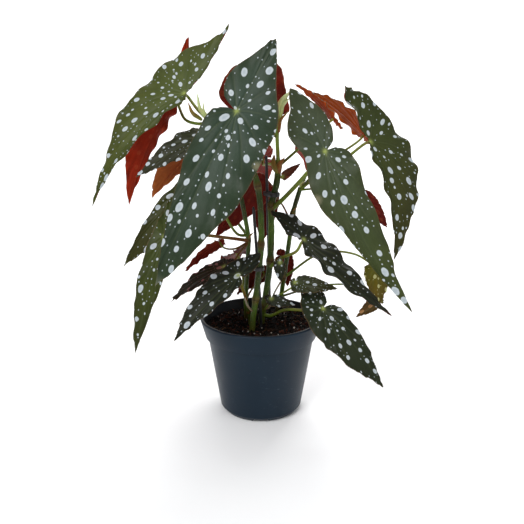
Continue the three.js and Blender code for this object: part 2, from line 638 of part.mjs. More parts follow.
function cane(name) {
  const { radius, foot, route, joints, bud, crown } = CANES[name];
  const points = [[...foot, SOIL_LEVEL + 2], [...foot, straightTop], ...route].map(vector);
  const solids = [
    upright(foot, radius, stemBottom, straightTop),
    stem(points, radius, CANE_SIDES, CANE_STEP),
  ];
  for (const joint of joints) {
    solids.push(knob(vector(joint), Z_AXIS, radius * JOINT_SWELL, JOINT_STRETCH));
  }
  const top = crown ? [points.at(-1), ...crown.route.map(vector)] : points;
  if (crown) solids.push(stem(top, crown.radius, CANE_SIDES, CANE_STEP));
  if (bud) {
    const neck = top.at(-1);
    solids.push(knob(neck, Z_AXIS, (crown ?? { radius }).radius * NECK_SWELL, 1));
    solids.push(spindle(neck, vector(bud.tip), bud.radius));
  }
  for (const blade of Object.values(blades)) {
    if (blade.cane === name) solids.push(stalk(blade));
  }
  for (const bract of BRACTS) {
    if (bract.cane === name) solids.push(spindle(vector(bract.from), vector(bract.to), bract.radius));
  }
  for (const dry of DRY_STALKS) {
    if (dry.cane === name) solids.push(stem(dry.points.map(vector), DRY_STALK_RADIUS));
  }
  return toMesh(joined(solids), name, name === 'stem_low_left' ? BROWN_STEM : GREEN_STEM);
}

// ---- Sticks and ties ----
function stick(name) {
  const { foot, top } = STICKS[name];
  const points = [[...foot, SOIL_LEVEL + 2], [...foot, straightTop], top].map(vector);
  const solids = [
    upright(foot, STICK_RADIUS, stemBottom, straightTop),
    stem(points, STICK_RADIUS, STICK_SIDES, STICK_STEP),
  ];
  return toMesh(joined(solids), name, BLACK_PLASTIC);
}

// Where the middle of a cane or stick is at a height.
function middleAt(name, height) {
  const { foot, route, top } = CANES[name] ?? STICKS[name];
  const line = [[...foot, straightTop], ...(route ?? [top])].map(vector);
  const upper = line.findIndex((point) => point.z > height);
  const from = line[upper - 1];
  const to = line[upper];
  return from.clone().lerp(to, (height - from.z) / (to.z - from.z));
}

const BEND_CORNERS = 12;

// The taut outline around some round stems, a distance outside each: a convex polygon.
function tautOutline(rounds, clearance) {
  const points = rounds.flatMap(({ centre, radius }) => Array.from({ length: BEND_CORNERS }, (_, i) => {
    const angle = (2 * Math.PI * i) / BEND_CORNERS;
    const reach = radius + clearance;
    return new THREE.Vector2(
      centre.x + reach * Math.cos(angle), centre.y + reach * Math.sin(angle));
  })).sort((a, b) => a.x - b.x || a.y - b.y);
  const half = (ordered) => ordered.reduce((chain, point) => {
    while (chain.length > 1) {
      const [a, b] = chain.slice(-2);
      if (b.clone().sub(a).cross(point.clone().sub(a)) > 0) break;
      chain.pop();
    }
    return [...chain, point];
  }, []).slice(0, -1);
  return [...half(points), ...half([...points].reverse())];
}

function tie(name) {
  const { height, around } = TIES[name];
  const rounds = around.map((member) => ({
    centre: middleAt(member, height),
    radius: CANES[member]?.radius ?? STICK_RADIUS,
  }));
  const band = new THREE.Shape(tautOutline(rounds, TIE_CLEARANCE + TIE_THICKNESS));
  band.holes.push(new THREE.Path(tautOutline(rounds, TIE_CLEARANCE)));
  const loop = new THREE.ExtrudeGeometry(band, { depth: TIE_WIDTH, bevelEnabled: false });
  loop.translate(0, 0, height - TIE_WIDTH / 2);
  return toMesh(toSolid(loop), name, BLACK_PLASTIC);
}

const blades = Object.fromEntries(
  Object.entries(BLADES).map(([name, row]) => [name, { ...USUAL_BLADE, ...row }]));

const plant = new THREE.Group();
plant.add(pot(), soil());
for (const name of Object.keys(CANES)) plant.add(cane(name));
for (const name of Object.keys(STICKS)) plant.add(stick(name));
for (const name of Object.keys(TIES)) plant.add(tie(name));
for (const [name, blade] of Object.entries(blades)) {
  plant.add(toMesh(bladeSolid(blade), name, blade.underside ? LEAF_RED : LEAF_TOP));
}

export default plant;
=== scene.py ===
"""A potted polka dot begonia: the finished pieces that stand for the part's solids.

Metres, +Z up, the front towards -Y, the origin at the centre of the pot's underside.
"""
import math
import random
from functools import partial, partialmethod

import bmesh
import bpy
import numpy as np
from mathutils import Matrix, Vector, noise


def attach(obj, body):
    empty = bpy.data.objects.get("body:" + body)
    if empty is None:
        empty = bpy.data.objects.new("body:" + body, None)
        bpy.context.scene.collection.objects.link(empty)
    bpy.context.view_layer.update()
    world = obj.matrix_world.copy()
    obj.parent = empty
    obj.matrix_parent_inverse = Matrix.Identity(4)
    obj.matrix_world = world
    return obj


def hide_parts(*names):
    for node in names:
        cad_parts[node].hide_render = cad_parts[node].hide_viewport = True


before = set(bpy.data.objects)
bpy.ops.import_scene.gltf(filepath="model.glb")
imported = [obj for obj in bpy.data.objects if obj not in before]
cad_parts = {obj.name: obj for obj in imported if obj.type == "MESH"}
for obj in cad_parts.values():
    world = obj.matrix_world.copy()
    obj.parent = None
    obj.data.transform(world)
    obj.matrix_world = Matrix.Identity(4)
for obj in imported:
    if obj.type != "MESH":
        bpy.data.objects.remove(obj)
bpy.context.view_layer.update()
SEED = 7
draw = random.Random(SEED)

# ---- Driving dimensions ----
RIM_RADIUS = 0.060
POT_HEIGHT = 0.096
COLLAR_HEIGHT = 0.019
COLLAR_FOOT_RADIUS = 0.055
FOOT_RADIUS = 0.037
WALL = 0.0015
SOIL_LEVEL = 0.087
SOIL_HOLE_DEPTH = 0.028
collar_foot = POT_HEIGHT - COLLAR_HEIGHT
collar_flare = (RIM_RADIUS - COLLAR_FOOT_RADIUS) / COLLAR_HEIGHT

# ---- The plant, as in the part ----
def metres(value):
    """The value with every number in it turned from millimetres to metres."""
    if isinstance(value, dict):
        return {key: metres(part) for key, part in value.items()}
    if isinstance(value, (list, tuple)):
        return [metres(part) for part in value]
    return value if isinstance(value, str) else value / 1000


# Canes: each rises from the soil along its route, and a thinner crown goes on from its end.
CANES = metres({
    "cane_right": dict(
        radius=3.1, foot=(1, -4),
        route=[(3, -4, 107), (6, -4, 127), (9, -2, 152), (10, 0, 178), (10, 0, 205), (15, 0, 228),
            (16, 0, 244)], crown=dict(radius=1.8, route=[(15, 0, 275), (17, 0, 288)]),
        joints=[(3, -4, 107), (9, -2, 152), (10, 0, 205), (16, 0, 244)],
        bud=dict(tip=(27, 0, 311), radius=4.2)),
    "cane_front": dict(
        radius=2.8, foot=(-8, -23),
        route=[(-5, -22, 119), (-3, -20, 138), (0, -18, 166), (0, -15, 199), (-3, -15, 226),
            (-9, -18, 246)], joints=[(-5, -22, 119), (0, -17, 172), (-3, -15, 226)],
        bud=dict(tip=(-12, -19, 256), radius=2.2)),
    "cane_left": dict(
        radius=2.2, foot=(-15, 12),
        route=[(-15, 7, 110), (-13, 1, 150), (-12, -2, 173), (-15, -4, 195), (-22, -4, 228),
            (-32, -4, 260), (-46, -4, 284)],
        joints=[(-12, -2, 173), (-22, -4, 228), (-45, -4, 283)],
        bud=dict(tip=(-58, -5, 309), radius=2.4)),
    "cane_rear": dict(
        radius=2.3, foot=(17, 20),
        route=[(20, 17, 108), (23, 14, 131), (28, 14, 169), (31, 14, 195), (38, 12, 221)],
        joints=[(23, 14, 131), (31, 14, 195)], bud=dict(tip=(43, 13, 232), radius=1.6)),
    "stem_low_left": dict(
        radius=1.7, foot=(-11, -4), route=[(-12, -9, 102), (-14, -20, 118)], joints=[]),
})
# Papery bracts at the joints of the canes: cane, foot, point and radius.
BRACTS = metres([
    ("cane_right", (16, -1, 273), (25, -3, 293), 1.9),
    ("cane_right", (16, -1, 236), (12, -3, 254), 3.8),
    ("cane_right", (16, -1, 236), (22, -3, 251), 3.4),
    ("cane_left", (-54, -1, 284), (-66, -6, 300), 2.3),
    ("cane_left", (-12, -2, 171), (-7, -5, 181), 1.5),
    ("cane_front", (0, -16, 172), (5, -18, 180), 1.5),
    ("cane_rear", (31, 14, 194), (35, 11, 203), 1.4),
])
DRY_STALKS = metres({
    "cane_right": [(3, -4, 103), (8, -11, 108), (13, -10, 122), (19, -9, 133)],
    "cane_front": [(-6, -22, 106), (-12, -28, 114), (-15, -32, 124)],
})
STICKS = metres({
    "stick_rear": dict(radius=1.4, foot=(9, 12), route=[(5, 7, 252)]),
    "stick_front": dict(radius=1.4, foot=(0, -11), route=[(-7, -10, 206)]),
})
# Ties: height, and the two stems that each goes round.
TIES = metres({
    "tie_upper": (216, ["cane_right", "stick_rear"]),
    "tie_lower": (149, ["cane_front", "stick_front"]),
})

# Colours of a blade, as sRGB: its upper side near the navel and near the tip, its underside.
# The grey-blue cast of the first of these colours is a painted sheen over the leaf's green.
GREEN_WITH_PAINTED_SHEEN = ((68, 86, 68), (56, 76, 54), (120, 26, 8))
MID_GREEN = ((84, 95, 70), (82, 94, 44), (130, 30, 8))
OLIVE = ((70, 80, 24), (72, 72, 4), (124, 32, 8))
DARK_GREEN = ((34, 42, 26), (38, 44, 20), (84, 14, 8))
YELLOW_OLIVE = ((120, 118, 10), (128, 104, 4), (150, 84, 24))
SPOT_WHITE = (184, 192, 196)

# Blades, in fractions of the length or degrees: wide and narrow are the two halves, and lobe is
# the part behind the navel. spotting says how much finer the spots are than on the largest
# blades. dry holds the flat place and reach of dry patches.
LARGE = dict(
    side=1, wide=0.24, narrow=0.14, lobe=0.42, lean=0, girth=1, inner=1, blunt=1, taper=0,
    waist=1, arch=0.06, bend=0, droop=0.1, fold=6, wave=0.016, waves=4, phase=0, scallop=0.03,
    rings=34, per_span=12, scallops=9, spotting=1, colours=DARK_GREEN, tip_colour=None, dry=(),
    spot_colour=SPOT_WHITE, brown_stalk=False)
SMALL = dict(LARGE, wide=0.3, narrow=0.2, lobe=0.2, rings=18, per_span=7, scallops=5, spotting=1.5)


def blade(usual, navel, tip, faces, cane, stalk, stalk_radius, **values):
    """A blade's values: navel, tip and stalk in millimetres, faces the way its upper side looks."""
    return {**usual, "navel": metres(navel), "tip": metres(tip), "faces": faces, "cane": cane,
            "stalk": metres(stalk), "stalk_radius": metres(stalk_radius), **values}


large, small = partial(blade, LARGE), partial(blade, SMALL)

BLADES = {
    "leaf_front_left": large((-20, -55, 292), (-86, -95, 154), (-0.1, -1, 0.25), "cane_front",
        [(-8, -18, 244), (-14, -30, 268)], 1.6, side=-1, wide=0.235, narrow=0.13, lobe=0.44,
        lean=-3.5, girth=0.82, inner=1.5, blunt=0.5, arch=0.05, droop=0, phase=5,
        # The pale grey tip of this blade is a painted highlight.
        colours=GREEN_WITH_PAINTED_SHEEN, tip_colour=(150, 158, 150), dry=[((0.226, 0.225), 0.026)]),
    "leaf_front_right": large((54, -50, 259), (127, -85, 128), (0.1, -1, 0.25), "cane_right",
        [(11, 0, 203), (18, -6, 210), (37, -28, 234)], 2.1, wide=0.14, narrow=0.135, lobe=0.37,
        girth=1.5, taper=0.55, arch=0.05, bend=0.055, droop=-0.05, phase=2, scallop=0.05,
        colours=MID_GREEN, dry=[((0.22, 0.14), 0.03), ((0.34, 0.13), 0.02)]),
    "leaf_high_left": large((-70, 5, 308), (-157, -10, 206), (-0.4, -0.85, 0.5), "cane_left",
        [(-46, -4, 283), (-57, -1, 293)], 1.6, wide=0.34, narrow=0.07, lobe=0.54, lean=-7,
        girth=0.95, inner=0.134, blunt=0.42, taper=0.66, waist=0.69, arch=0.09, bend=0.03, droop=0,
        fold=10, wave=0.014, phase=2.4, colours=((98, 108, 44), (94, 102, 30), (112, 16, 2)),
        spotting=1.2),
    "leaf_high_left_rear": large((-84, 40, 303), (-135, 45, 199), (-0.5, 1, 0.3), "cane_left",
        [(-45, -4, 282), (-60, 10, 281), (-72, 20, 285)], 1.6, side=-1, wide=0.2, narrow=0.07,
        lobe=0.51, lean=-12, girth=0.5, arch=0.04, bend=0.04, droop=0, wave=0.03, waves=6,
        colours=((80, 88, 42), (80, 84, 38), (132, 30, 2))),
    "leaf_far_right": large((100, -5, 265), (123, -25, 158), (0.5, -0.8, 0.25), "cane_rear",
        [(37, 12, 219), (53, 8, 232), (70, 4, 242)], 1.6, side=-1, wide=0.36, narrow=0.06,
        lobe=0.49, lean=17, girth=1.1, inner=0.1, taper=0.2, arch=0.02, bend=0.1, fold=12,
        wave=0.022, colours=OLIVE, spotting=1.08),
    "leaf_high_right": small((67, 8, 285), (31, 30, 318), (0.3, 0.6, 0.8), "cane_right",
        [(16, 0, 242), (33, -2, 257), (48, 2, 272)], 1.3, side=-1, wide=0.12, narrow=0.14,
        lobe=0.25, colours=((84, 96, 66), (150, 56, 6))),
    "leaf_high_right_rear": small((98, 20, 270), (47, 35, 310), (0.3, 0.4, 0.8), "cane_rear",
        [(38, 12, 220), (62, 16, 244), (84, 20, 258)], 1.3, side=-1, wide=0.28,
        colours=((84, 96, 66), (172, 70, 8))),
    "leaf_crown_rear": large((-18, 24, 286), (-64, 50, 187), (-0.2, 0.9, 0.4), "cane_right",
        [(15, 0, 270), (0, 6, 275)], 1.6, wide=0.214, lobe=0.52, lean=-7, girth=2.3, inner=1.45,
        droop=0, phase=3, colours=((66, 78, 46), (92, 18, 4))),
    "leaf_mid_left_upper": small((-50, -14, 271), (-112, -25, 235), (-0.1, -0.8, 0.6), "cane_left",
        [(-23, -4, 232), (-38, -6, 250)], 1.2, side=-1, wide=0.17, narrow=0.18,
        colours=((56, 60, 32), (60, 60, 30), (100, 24, 8)), spotting=1.35),
    "leaf_mid_left_lower": small((-64, -2, 256), (-101, -10, 214), (-0.2, 0.8, 0.5), "cane_left",
        [(-22, -4, 228), (-44, -8, 244)], 1.2, side=-1, wide=0.32, narrow=0.14,
        colours=((90, 84, 34), (158, 84, 40)), spot_colour=(160, 120, 90), brown_stalk=True),
    "leaf_left_upper": large((-52, -26, 235), (-123, -44, 157), (-0.3, -1, 0.3), "cane_left",
        [(-13, -2, 177), (-22, -10, 180), (-36, -20, 205)], 1.3, side=-1, wide=0.2, narrow=0.1,
        lobe=0.3, bend=-0.03, phase=4, colours=OLIVE, tip_colour=(106, 112, 66), spotting=1.12),
    "leaf_left_lower": large((-82, -62, 188), (-109, -78, 88), (-0.2, -1, 0.2), "cane_left",
        [(-12, -2, 172), (-32, -22, 179), (-60, -52, 188)], 1.6, wide=0.115, narrow=0.1, lobe=0.36,
        droop=0, phase=5, colours=((76, 88, 22), (70, 78, 10), (100, 24, 8)), spotting=1.08,
        brown_stalk=True),
    "leaf_inner_right": large((39, -30, 179), (116, -60, 116), (0.2, -0.75, 1), "cane_right",
        [(8, -3, 146), (20, -14, 158), (33, -25, 167)], 1.6, side=-1, wide=0.19, narrow=0.075,
        lobe=0.38, inner=0.8, taper=0.2, bend=-0.09, droop=0, wave=0.03, phase=1,
        tip_colour=(112, 20, 16), spotting=1.1),
    "leaf_small_right": small((106, -33, 154), (110, -37, 119), (0.1, -1, 0.1), "cane_rear",
        [(23, 14, 131), (58, 4, 158), (88, -16, 162)], 1.2, wide=0.34, narrow=0.28,
        colours=YELLOW_OLIVE, spot_colour=(180, 178, 120)),
    "leaf_small_right_low": small((111, -30, 120), (88, -38, 107), (0, -1, 0.1), "cane_rear",
        [(20, 17, 110), (62, 10, 124), (98, -12, 128)], 1, narrow=0.16, lobe=0.15,
        colours=((112, 90, 26), (120, 80, 20), (152, 84, 26)), spot_colour=(160, 116, 70)),
    "leaf_low_right": large((58, -30, 113), (112, -60, 47), (0.3, -0.9, 0.5), "cane_right",
        [(2, -4, 98), (10, -10, 99), (23, -16, 107), (42, -24, 109)], 1.6, wide=0.25, narrow=0.15,
        lobe=0.34, droop=0, phase=2, colours=((46, 58, 34), (46, 56, 24), (90, 16, 8)),
        spotting=1.25),
    "leaf_low_centre": small((32, -25, 137), (71, -35, 134), (0, -0.8, 0.6), "cane_right",
        [(3, -4, 108), (17, -12, 120), (27, -20, 129)], 1.1, wide=0.24, narrow=0.18, lobe=0.12,
        colours=((54, 66, 32), (68, 66, 26), (90, 16, 8)), spotting=1.9),
    "leaf_lowest": small((10, -15, 118), (33, -20, 113), (0, -0.8, 0.5), "cane_right",
        [(2, -4, 100), (6, -9, 108)], 1, lobe=0.3),
    "leaf_low_left": large((-20, -55, 152), (-74, -85, 102), (-0.2, -0.8, 0.6), "stem_low_left",
        [(-12, -9, 102), (-14, -20, 118), (-17, -38, 136)], 1.6, wide=0.2, narrow=0.12, lobe=0.36,
        phase=3, spotting=1.2, brown_stalk=True),
    "leaf_inner_left": small((-34, -28, 153), (-83, -35, 121), (-0.1, -0.35, 0.9), "cane_left",
        [(-12, -2, 170), (-20, -8, 162), (-29, -20, 149)], 1.2, wide=0.22, phase=2,
        colours=((44, 20, 14), (56, 46, 22), (84, 12, 8)), spot_colour=(140, 92, 88),
        brown_stalk=True),
    "leaf_inner_left_upper": small((-38, -22, 175), (-72, -22, 146), (-0.2, 0.6, 0.6), "cane_left",
        [(-12, -2, 171), (-24, -10, 166)], 1, wide=0.2, narrow=0.12, lobe=0.1,
        colours=((50, 38, 22), (96, 20, 10)), spot_colour=(150, 110, 96), brown_stalk=True),
    "leaf_centre_hanging": small((18, -20, 155), (19, -24, 137), (0, -1, 0.1), "cane_right",
        [(20, -14, 158), (19, -17, 158)], 0.8, wide=0.34, narrow=0.26),
    "leaf_rear_centre": small((-4, 16, 226), (-46, 26, 170), (-0.2, 0.9, 0.3), "cane_front",
        [(-2, -15, 216), (-4, 0, 218)], 1.2, lobe=0.15, colours=(*DARK_GREEN[:2], (96, 18, 10)),
        brown_stalk=True),
    "leaf_rear_low": small((3, 34, 214), (0, 52, 158), (0.1, 0.9, 0.3), "cane_rear", [(30, 14, 186),
        (20, 26, 204), (10, 32, 212)], 1, wide=0.26, lobe=0.25, brown_stalk=True),
    "leaf_rear_right": small((21, 36, 148), (28, 44, 112), (0.1, 0.9, 0.4), "cane_rear",
        [(23, 14, 131), (24, 21, 140)], 1, lobe=0.22),
    "leaf_rear_rim": small((2, 34, 132), (-26, 42, 104), (0, 0.85, 0.5), "cane_left",
        [(-15, 8, 108), (-10, 18, 116)], 1, narrow=0.24, lobe=0.25,
        colours=(*DARK_GREEN[:2], (74, 22, 14)), brown_stalk=True),
    "leaf_right_shaded": small((90, -24, 216), (114, -32, 190), (0, 1, 0.2), "cane_rear",
        [(38, 12, 219), (58, -4, 222), (78, -22, 220)], 1, wide=0.28),
    "leaf_newest": small((20, -3, 233), (37, -6, 246), (0.2, -1, 0.4), "cane_right", [(15, 0, 228),
        (17, 0, 231)], 0.8, wide=0.2, narrow=0.16, lobe=0.1, colours=((122, 40, 22), (132, 52, 28),
        (140, 50, 26)), spot_colour=(132, 66, 46), brown_stalk=True),
    "leaf_back_left": large((-56, 72, 232), (-104, 132, 146), (-0.5, 0.8, 0.6), "cane_left",
        [(-12, -2, 174), (-13, 26, 170), (-38, 62, 198)], 1.6, narrow=0.15, lobe=0.36, phase=1,
        colours=MID_GREEN),
    "leaf_back_centre": large((2, 78, 244), (-6, 146, 190), (0, 0.5, 0.8), "cane_right",
        [(15, 0, 232), (14, 30, 240), (6, 58, 240)], 1.6, side=-1, wide=0.25, narrow=0.16,
        lobe=0.36, phase=4, colours=GREEN_WITH_PAINTED_SHEEN),
    "leaf_back_right": large((60, 40, 255), (105, 105, 160), (0.5, 0.8, 0.6), "cane_rear",
        [(37, 12, 218), (46, 24, 236)], 1.6, side=-1, narrow=0.15, phase=5, colours=MID_GREEN),
    "leaf_back_low_left": small((-25, 40, 150), (-55, 88, 106), (-0.4, 0.6, 0.8), "cane_left",
        [(-15, 6, 112), (-18, 20, 130)], 1.6, wide=0.22, narrow=0.15, lobe=0.36, phase=2),
}


def linear(srgb):
    """Linear colour of an sRGB colour given from 0 to 255."""
    share = np.asarray(srgb, float) / 255
    return np.where(share <= 0.04045, share / 12.92, ((share + 0.055) / 1.055) ** 2.4)


# ---- Materials ----
def node(tree, kind, inputs, out=0, **settings):
    """A new node's output of that number, or all of its outputs where out is None."""
    made = tree.nodes.new("ShaderNode" + kind)
    for key, setting in settings.items():
        setattr(made, key, setting)
    for key, value in inputs.items():
        if isinstance(value, Value):
            tree.links.new(value.socket, made.inputs[key])
        else:
            made.inputs[key].default_value = value
    outputs = [Value(output) for output in made.outputs]
    return outputs if out is None else outputs[out]


class Value:
    """A value that runs through a material. What is done with it makes more nodes there."""

    def __init__(self, socket):
        self.socket = socket

    def node(self, kind, inputs, out=0, **settings):
        return node(self.socket.id_data, kind, inputs, out, **settings)

    def math(self, operation, *others):
        return self.node("Math", dict(enumerate((self, *others))), operation=operation)

    __add__ = partialmethod(math, "ADD")
    __sub__ = partialmethod(math, "SUBTRACT")
    __mul__ = partialmethod(math, "MULTIPLY")
    __truediv__ = partialmethod(math, "DIVIDE")
    __pow__ = partialmethod(math, "POWER")

    def vector(self, operation, other=(0.0, 0.0, 0.0), out=0):
        return self.node("VectorMath", {0: self, 1: other}, out, operation=operation)

    moved = partialmethod(vector, "ADD")
    scaled = partialmethod(vector, "MULTIPLY")

    def dot(self, other):
        return self.vector("DOT_PRODUCT", other, 1)

    def between(self, low, high, to_low=0.0, to_high=1.0):
        return self.node("MapRange", {0: self, 1: low, 2: high, 3: to_low, 4: to_high})

    def noise(self, scale, detail=3.0, out=0):
        return self.node("TexNoise", {"Vector": self, "Scale": scale, "Detail": detail}, out)

    def cells(self, scale, **settings):
        return self.node("TexVoronoi", {"Vector": self, "Scale": scale}, **settings)

    def mixed(self, first, second, blend="MIX"):
        """The first colour, blended with the second by this share."""
        values = {0: self, 6: first, 7: second}
        return self.node("Mix", values, 2, data_type="RGBA", blend_type=blend)

    def laid(self, share, srgb):
        """This colour with a share of another over it."""
        return share.mixed(self, whole(srgb))

    def shaded(self, share, factors):
        """This colour, multiplied by a share of the factors."""
        return share.mixed(self, (*factors, 1.0), "MULTIPLY")

    def bump(self, distance, strength, **below):
        return self.node("Bump", {"Height": self, "Distance": distance, "Strength": strength,
                                  **below})


def whole(srgb):
    return (*linear(srgb), 1.0)


def carried(tree, name, out=0):
    """What the points carry by that name: a colour, or a number where out is NUMBER."""
    return node(tree, "Attribute", {}, out, attribute_name=name)


def unrolled(tree, name):
    return node(tree, "UVMap", {}, uv_map=name)


def place_in(tree):
    return node(tree, "TexCoord", {}, 3)


def surface(tree, colour, roughness, through=None, **more):
    """The material's surface, with through as the share and colour of light that passes it."""
    values = {key.replace("_", " "): value for key, value in more.items()}
    shader = node(tree, "BsdfPrincipled", {"Base Color": colour, "Roughness": roughness, **values})
    if through:
        share, srgb = through
        passed = node(tree, "BsdfTranslucent", {"Color": whole(srgb)})
        shader = node(tree, "MixShader", {0: share, 1: shader, 2: passed})
    node(tree, "OutputMaterial", {"Surface": shader}, None)


def material(recipe):
    """The material that a recipe builds, by the recipe's name."""
    made = bpy.data.materials.new(recipe.__name__)
    made.use_nodes = True
    made.node_tree.nodes.clear()
    recipe(made.node_tree)
    return made


NUMBER = 2


def spot_rule(spacing, smallest, largest, share, shift, clear_of=()):
    """A rule for one size of spots, one or none to a cell, each drawn out away from the navel.

    The rule gives the way from a place on the blade to the edge of the nearest spot, less than
    0 inside one. clear_of holds the rules of the spots that these keep clear of.
    """
    def way(place, navel, wobble=(0.0, 0.0, 0.0)):
        values = {"Vector": place.moved((shift, -2 * shift, 0)), "Scale": 1 / spacing,
                  "Randomness": 0.6}
        _, drawn, middle, *_ = place.node("TexVoronoi", values, None, voronoi_dimensions="2D")
        lots = place.node("SeparateColor", {0: drawn}, None)
        middle = middle.moved((-shift, 2 * shift, 0))
        outward = middle.vector("SUBTRACT", navel).vector("NORMALIZE")
        sideways = outward.vector("CROSS_PRODUCT", (0.0, 0.0, 1.0))
        away = place.vector("SUBTRACT", middle).moved(wobble)
        along = away.dot(outward) / lots[2].between(0, 1, 1.15, 1.7)
        radius = lots[1].between(0, 1, smallest, largest)
        absent = lots[0].math("GREATER_THAN", share)
        for rule, margin in clear_of:
            room = rule(middle, navel) - radius
            absent = absent.math("MAXIMUM", room.math("LESS_THAN", margin))
        reach = (along ** 2.0 + away.dot(sideways) ** 2.0).math("SQRT")
        return reach - radius + absent
    return way


LARGE_SPOTS = spot_rule(0.0165, 0.0015, 0.0028, 0.92, 0.31)
MIDDLE_SPOTS = spot_rule(0.0105, 0.0008, 0.0013, 0.3, 0.53, [(LARGE_SPOTS, 0.0014)])
SMALL_SPOTS = spot_rule(0.0052, 0.0003, 0.0005, 0.42, 0.77,
                        [(LARGE_SPOTS, 0.0006), (MIDDLE_SPOTS, 0.0006)])
SPOT_EDGE = 0.00022
SPOT_WOBBLE = 0.0009


def spots_on(tree, flat):
    """Share of white from 0 to 1 over the blade, and the way to the nearest spot's edge."""
    seed = carried(tree, "seed")
    scale = {0: flat, "Scale": carried(tree, "spotting", NUMBER)}
    place = node(tree, "VectorMath", scale, operation="SCALE").moved(seed)
    wobble = flat.noise(300, out=1).moved((-0.5, -0.5, -0.5))
    wobble = wobble.scaled((SPOT_WOBBLE, SPOT_WOBBLE, 0.0))
    large, middle, small = (
        rule(place, seed, wobble) for rule in (LARGE_SPOTS, MIDDLE_SPOTS, SMALL_SPOTS))
    nearest = large.math("MINIMUM", middle).math("MINIMUM", small)
    return nearest.between(SPOT_EDGE, -SPOT_EDGE), nearest


def leaf_top(tree):
    flat = unrolled(tree, "flat")
    spots, way = spots_on(tree, flat)
    vein, hub, rim, dry = (carried(tree, name, NUMBER) for name in ("vein", "hub", "rim", "dry"))
    blotches, grain = flat.noise(48, 4), flat.noise(900, 2)
    green = carried(tree, "tint")
    green = green.shaded(blotches.between(0.35, 0.7), (0.7, 0.76, 0.66))
    green = green.shaded(grain.between(0.3, 0.75, 0, 0.3), (1.5, 1.45, 1.3))
    # Darkening along the veins is painted shade in their creases; the paler line laid next is the
    # veins' own colour.
    green = green.shaded(vein ** 0.35 * 0.34, (0.5, 0.52, 0.48))
    green = green.laid(vein ** 2.0 * 0.12, (104, 116, 70))
    green = green.laid((dry + grain * 0.5).between(0.5, 1.1, 0, 0.8), (122, 118, 92))
    green = green.laid(rim * 0.6, (96, 72, 44))
    pale = carried(tree, "tint_spot")
    pale = pale.shaded(grain.between(0.35, 0.8, 0, 0.4), (0.8, 0.82, 0.8))
    pale = pale.shaded(way.between(-0.0006, -0.0022, 0, 0.7), (0.72, 0.76, 0.8))
    relief = flat.cells(1400).bump(0.0002, 0.2, Normal=blotches.bump(0.002, 0.5))
    surface(tree, spots.mixed(green, pale).laid(hub, (150, 162, 84)),
            grain.between(0.2, 0.8, 0.4, 0.54), (0.04, (120, 130, 40)),
            Normal=spots.bump(0.00025, 0.35, Normal=relief), Specular_IOR_Level=0.2)


def leaf_under(tree):
    flat = unrolled(tree, "flat")
    vein, rim = (carried(tree, name, NUMBER) for name in ("vein", "rim"))
    blotches, grain = flat.noise(60, 4), flat.noise(700, 3)
    red = carried(tree, "tint_under")
    red = red.shaded(blotches.between(0.3, 0.7), (0.66, 0.6, 0.6))
    red = red.shaded(grain.between(0.35, 0.75, 0, 0.3), (1.4, 1.5, 1.4))
    red = red.laid(vein * 0.35, (116, 40, 14))
    red = red.laid(spots_on(tree, flat)[0] * 0.12, (190, 100, 60))
    net = flat.cells(500, feature="DISTANCE_TO_EDGE")
    surface(tree, red.laid(rim * 0.7, (150, 104, 78)), grain.between(0.2, 0.8, 0.5, 0.62),
            (0.06, (200, 60, 8)), Normal=net.between(0, 0.15).bump(0.0002, 0.35),
            Specular_IOR_Level=0.14)


def stem_skin(tree):
    skin = unrolled(tree, "skin")
    streaks = skin.scaled((900, 90, 1)).noise(1, 4)
    flecks = skin.scaled((700, 300, 1)).cells(1)
    patches = place_in(tree).noise(75, 4)
    colour = carried(tree, "tint")
    colour = colour.shaded(streaks.between(0.35, 0.7), (0.62, 0.7, 0.6))
    colour = colour.shaded(patches.between(0.46, 0.66), (0.86, 0.56, 0.5))
    colour = colour.laid(flecks.between(0.22, 0.1, 0, 0.55), (150, 142, 84))
    surface(tree, colour, streaks.between(0.2, 0.8, 0.36, 0.56), Normal=streaks.bump(0.0004, 0.4),
            Specular_IOR_Level=0.28, Subsurface_Weight=0.08, Subsurface_Radius=(0.5, 1.0, 0.2),
            Subsurface_Scale=0.002)


def pot_plastic(tree):
    place = place_in(tree)
    clouds, grain, dust = (
        place.noise(scale, detail) for scale, detail in ((28, 4), (2600, 2), (330, 5)))
    scratches = place.scaled((160, 160, 1400)).noise(1, 2)
    scuffed = scratches.between(0.68, 0.74) * clouds.between(0.5, 0.62)
    colour = clouds.between(0.3, 0.7).mixed(whole((21, 35, 47)), whole((25, 39, 51)))
    colour = colour.laid(scuffed * 0.35, (112, 122, 130))
    colour = colour.laid(dust.between(0.68, 0.82, 0, 0.3), (80, 86, 88))
    # The inner wall above the soil is darkened almost to black: painted shade in that hollow, with
    # some peat clinging to it.
    height = place.dot((0, 0, 1))
    out = place.scaled((1, 1, 0)).vector("LENGTH", out=1)
    outer_wall = (height - collar_foot).math("MULTIPLY_ADD", collar_flare, COLLAR_FOOT_RADIUS)
    behind = (outer_wall - out).between(0.0005, 0.0011)
    shade_and_peat = behind * height.between(0.080, 0.083) * clouds.between(0.3, 0.6, 0.7, 0.95)
    surface(tree, colour.laid(shade_and_peat, (12, 11, 8)),
            clouds.between(0.3, 0.7, 0.36, 0.46) + scuffed * 0.2,
            Normal=grain.bump(0.00012, 0.3, Normal=clouds.bump(0.0006, 0.15)),
            Specular_IOR_Level=0.13)


def black_plastic(tree):
    wear = place_in(tree).scaled((900, 900, 120)).noise(1, 4)
    surface(tree, wear.between(0.4, 0.75).mixed(whole((14, 14, 15)), whole((40, 40, 40))),
            wear.between(0.2, 0.8, 0.3, 0.5), Normal=wear.bump(0.0002, 0.3))


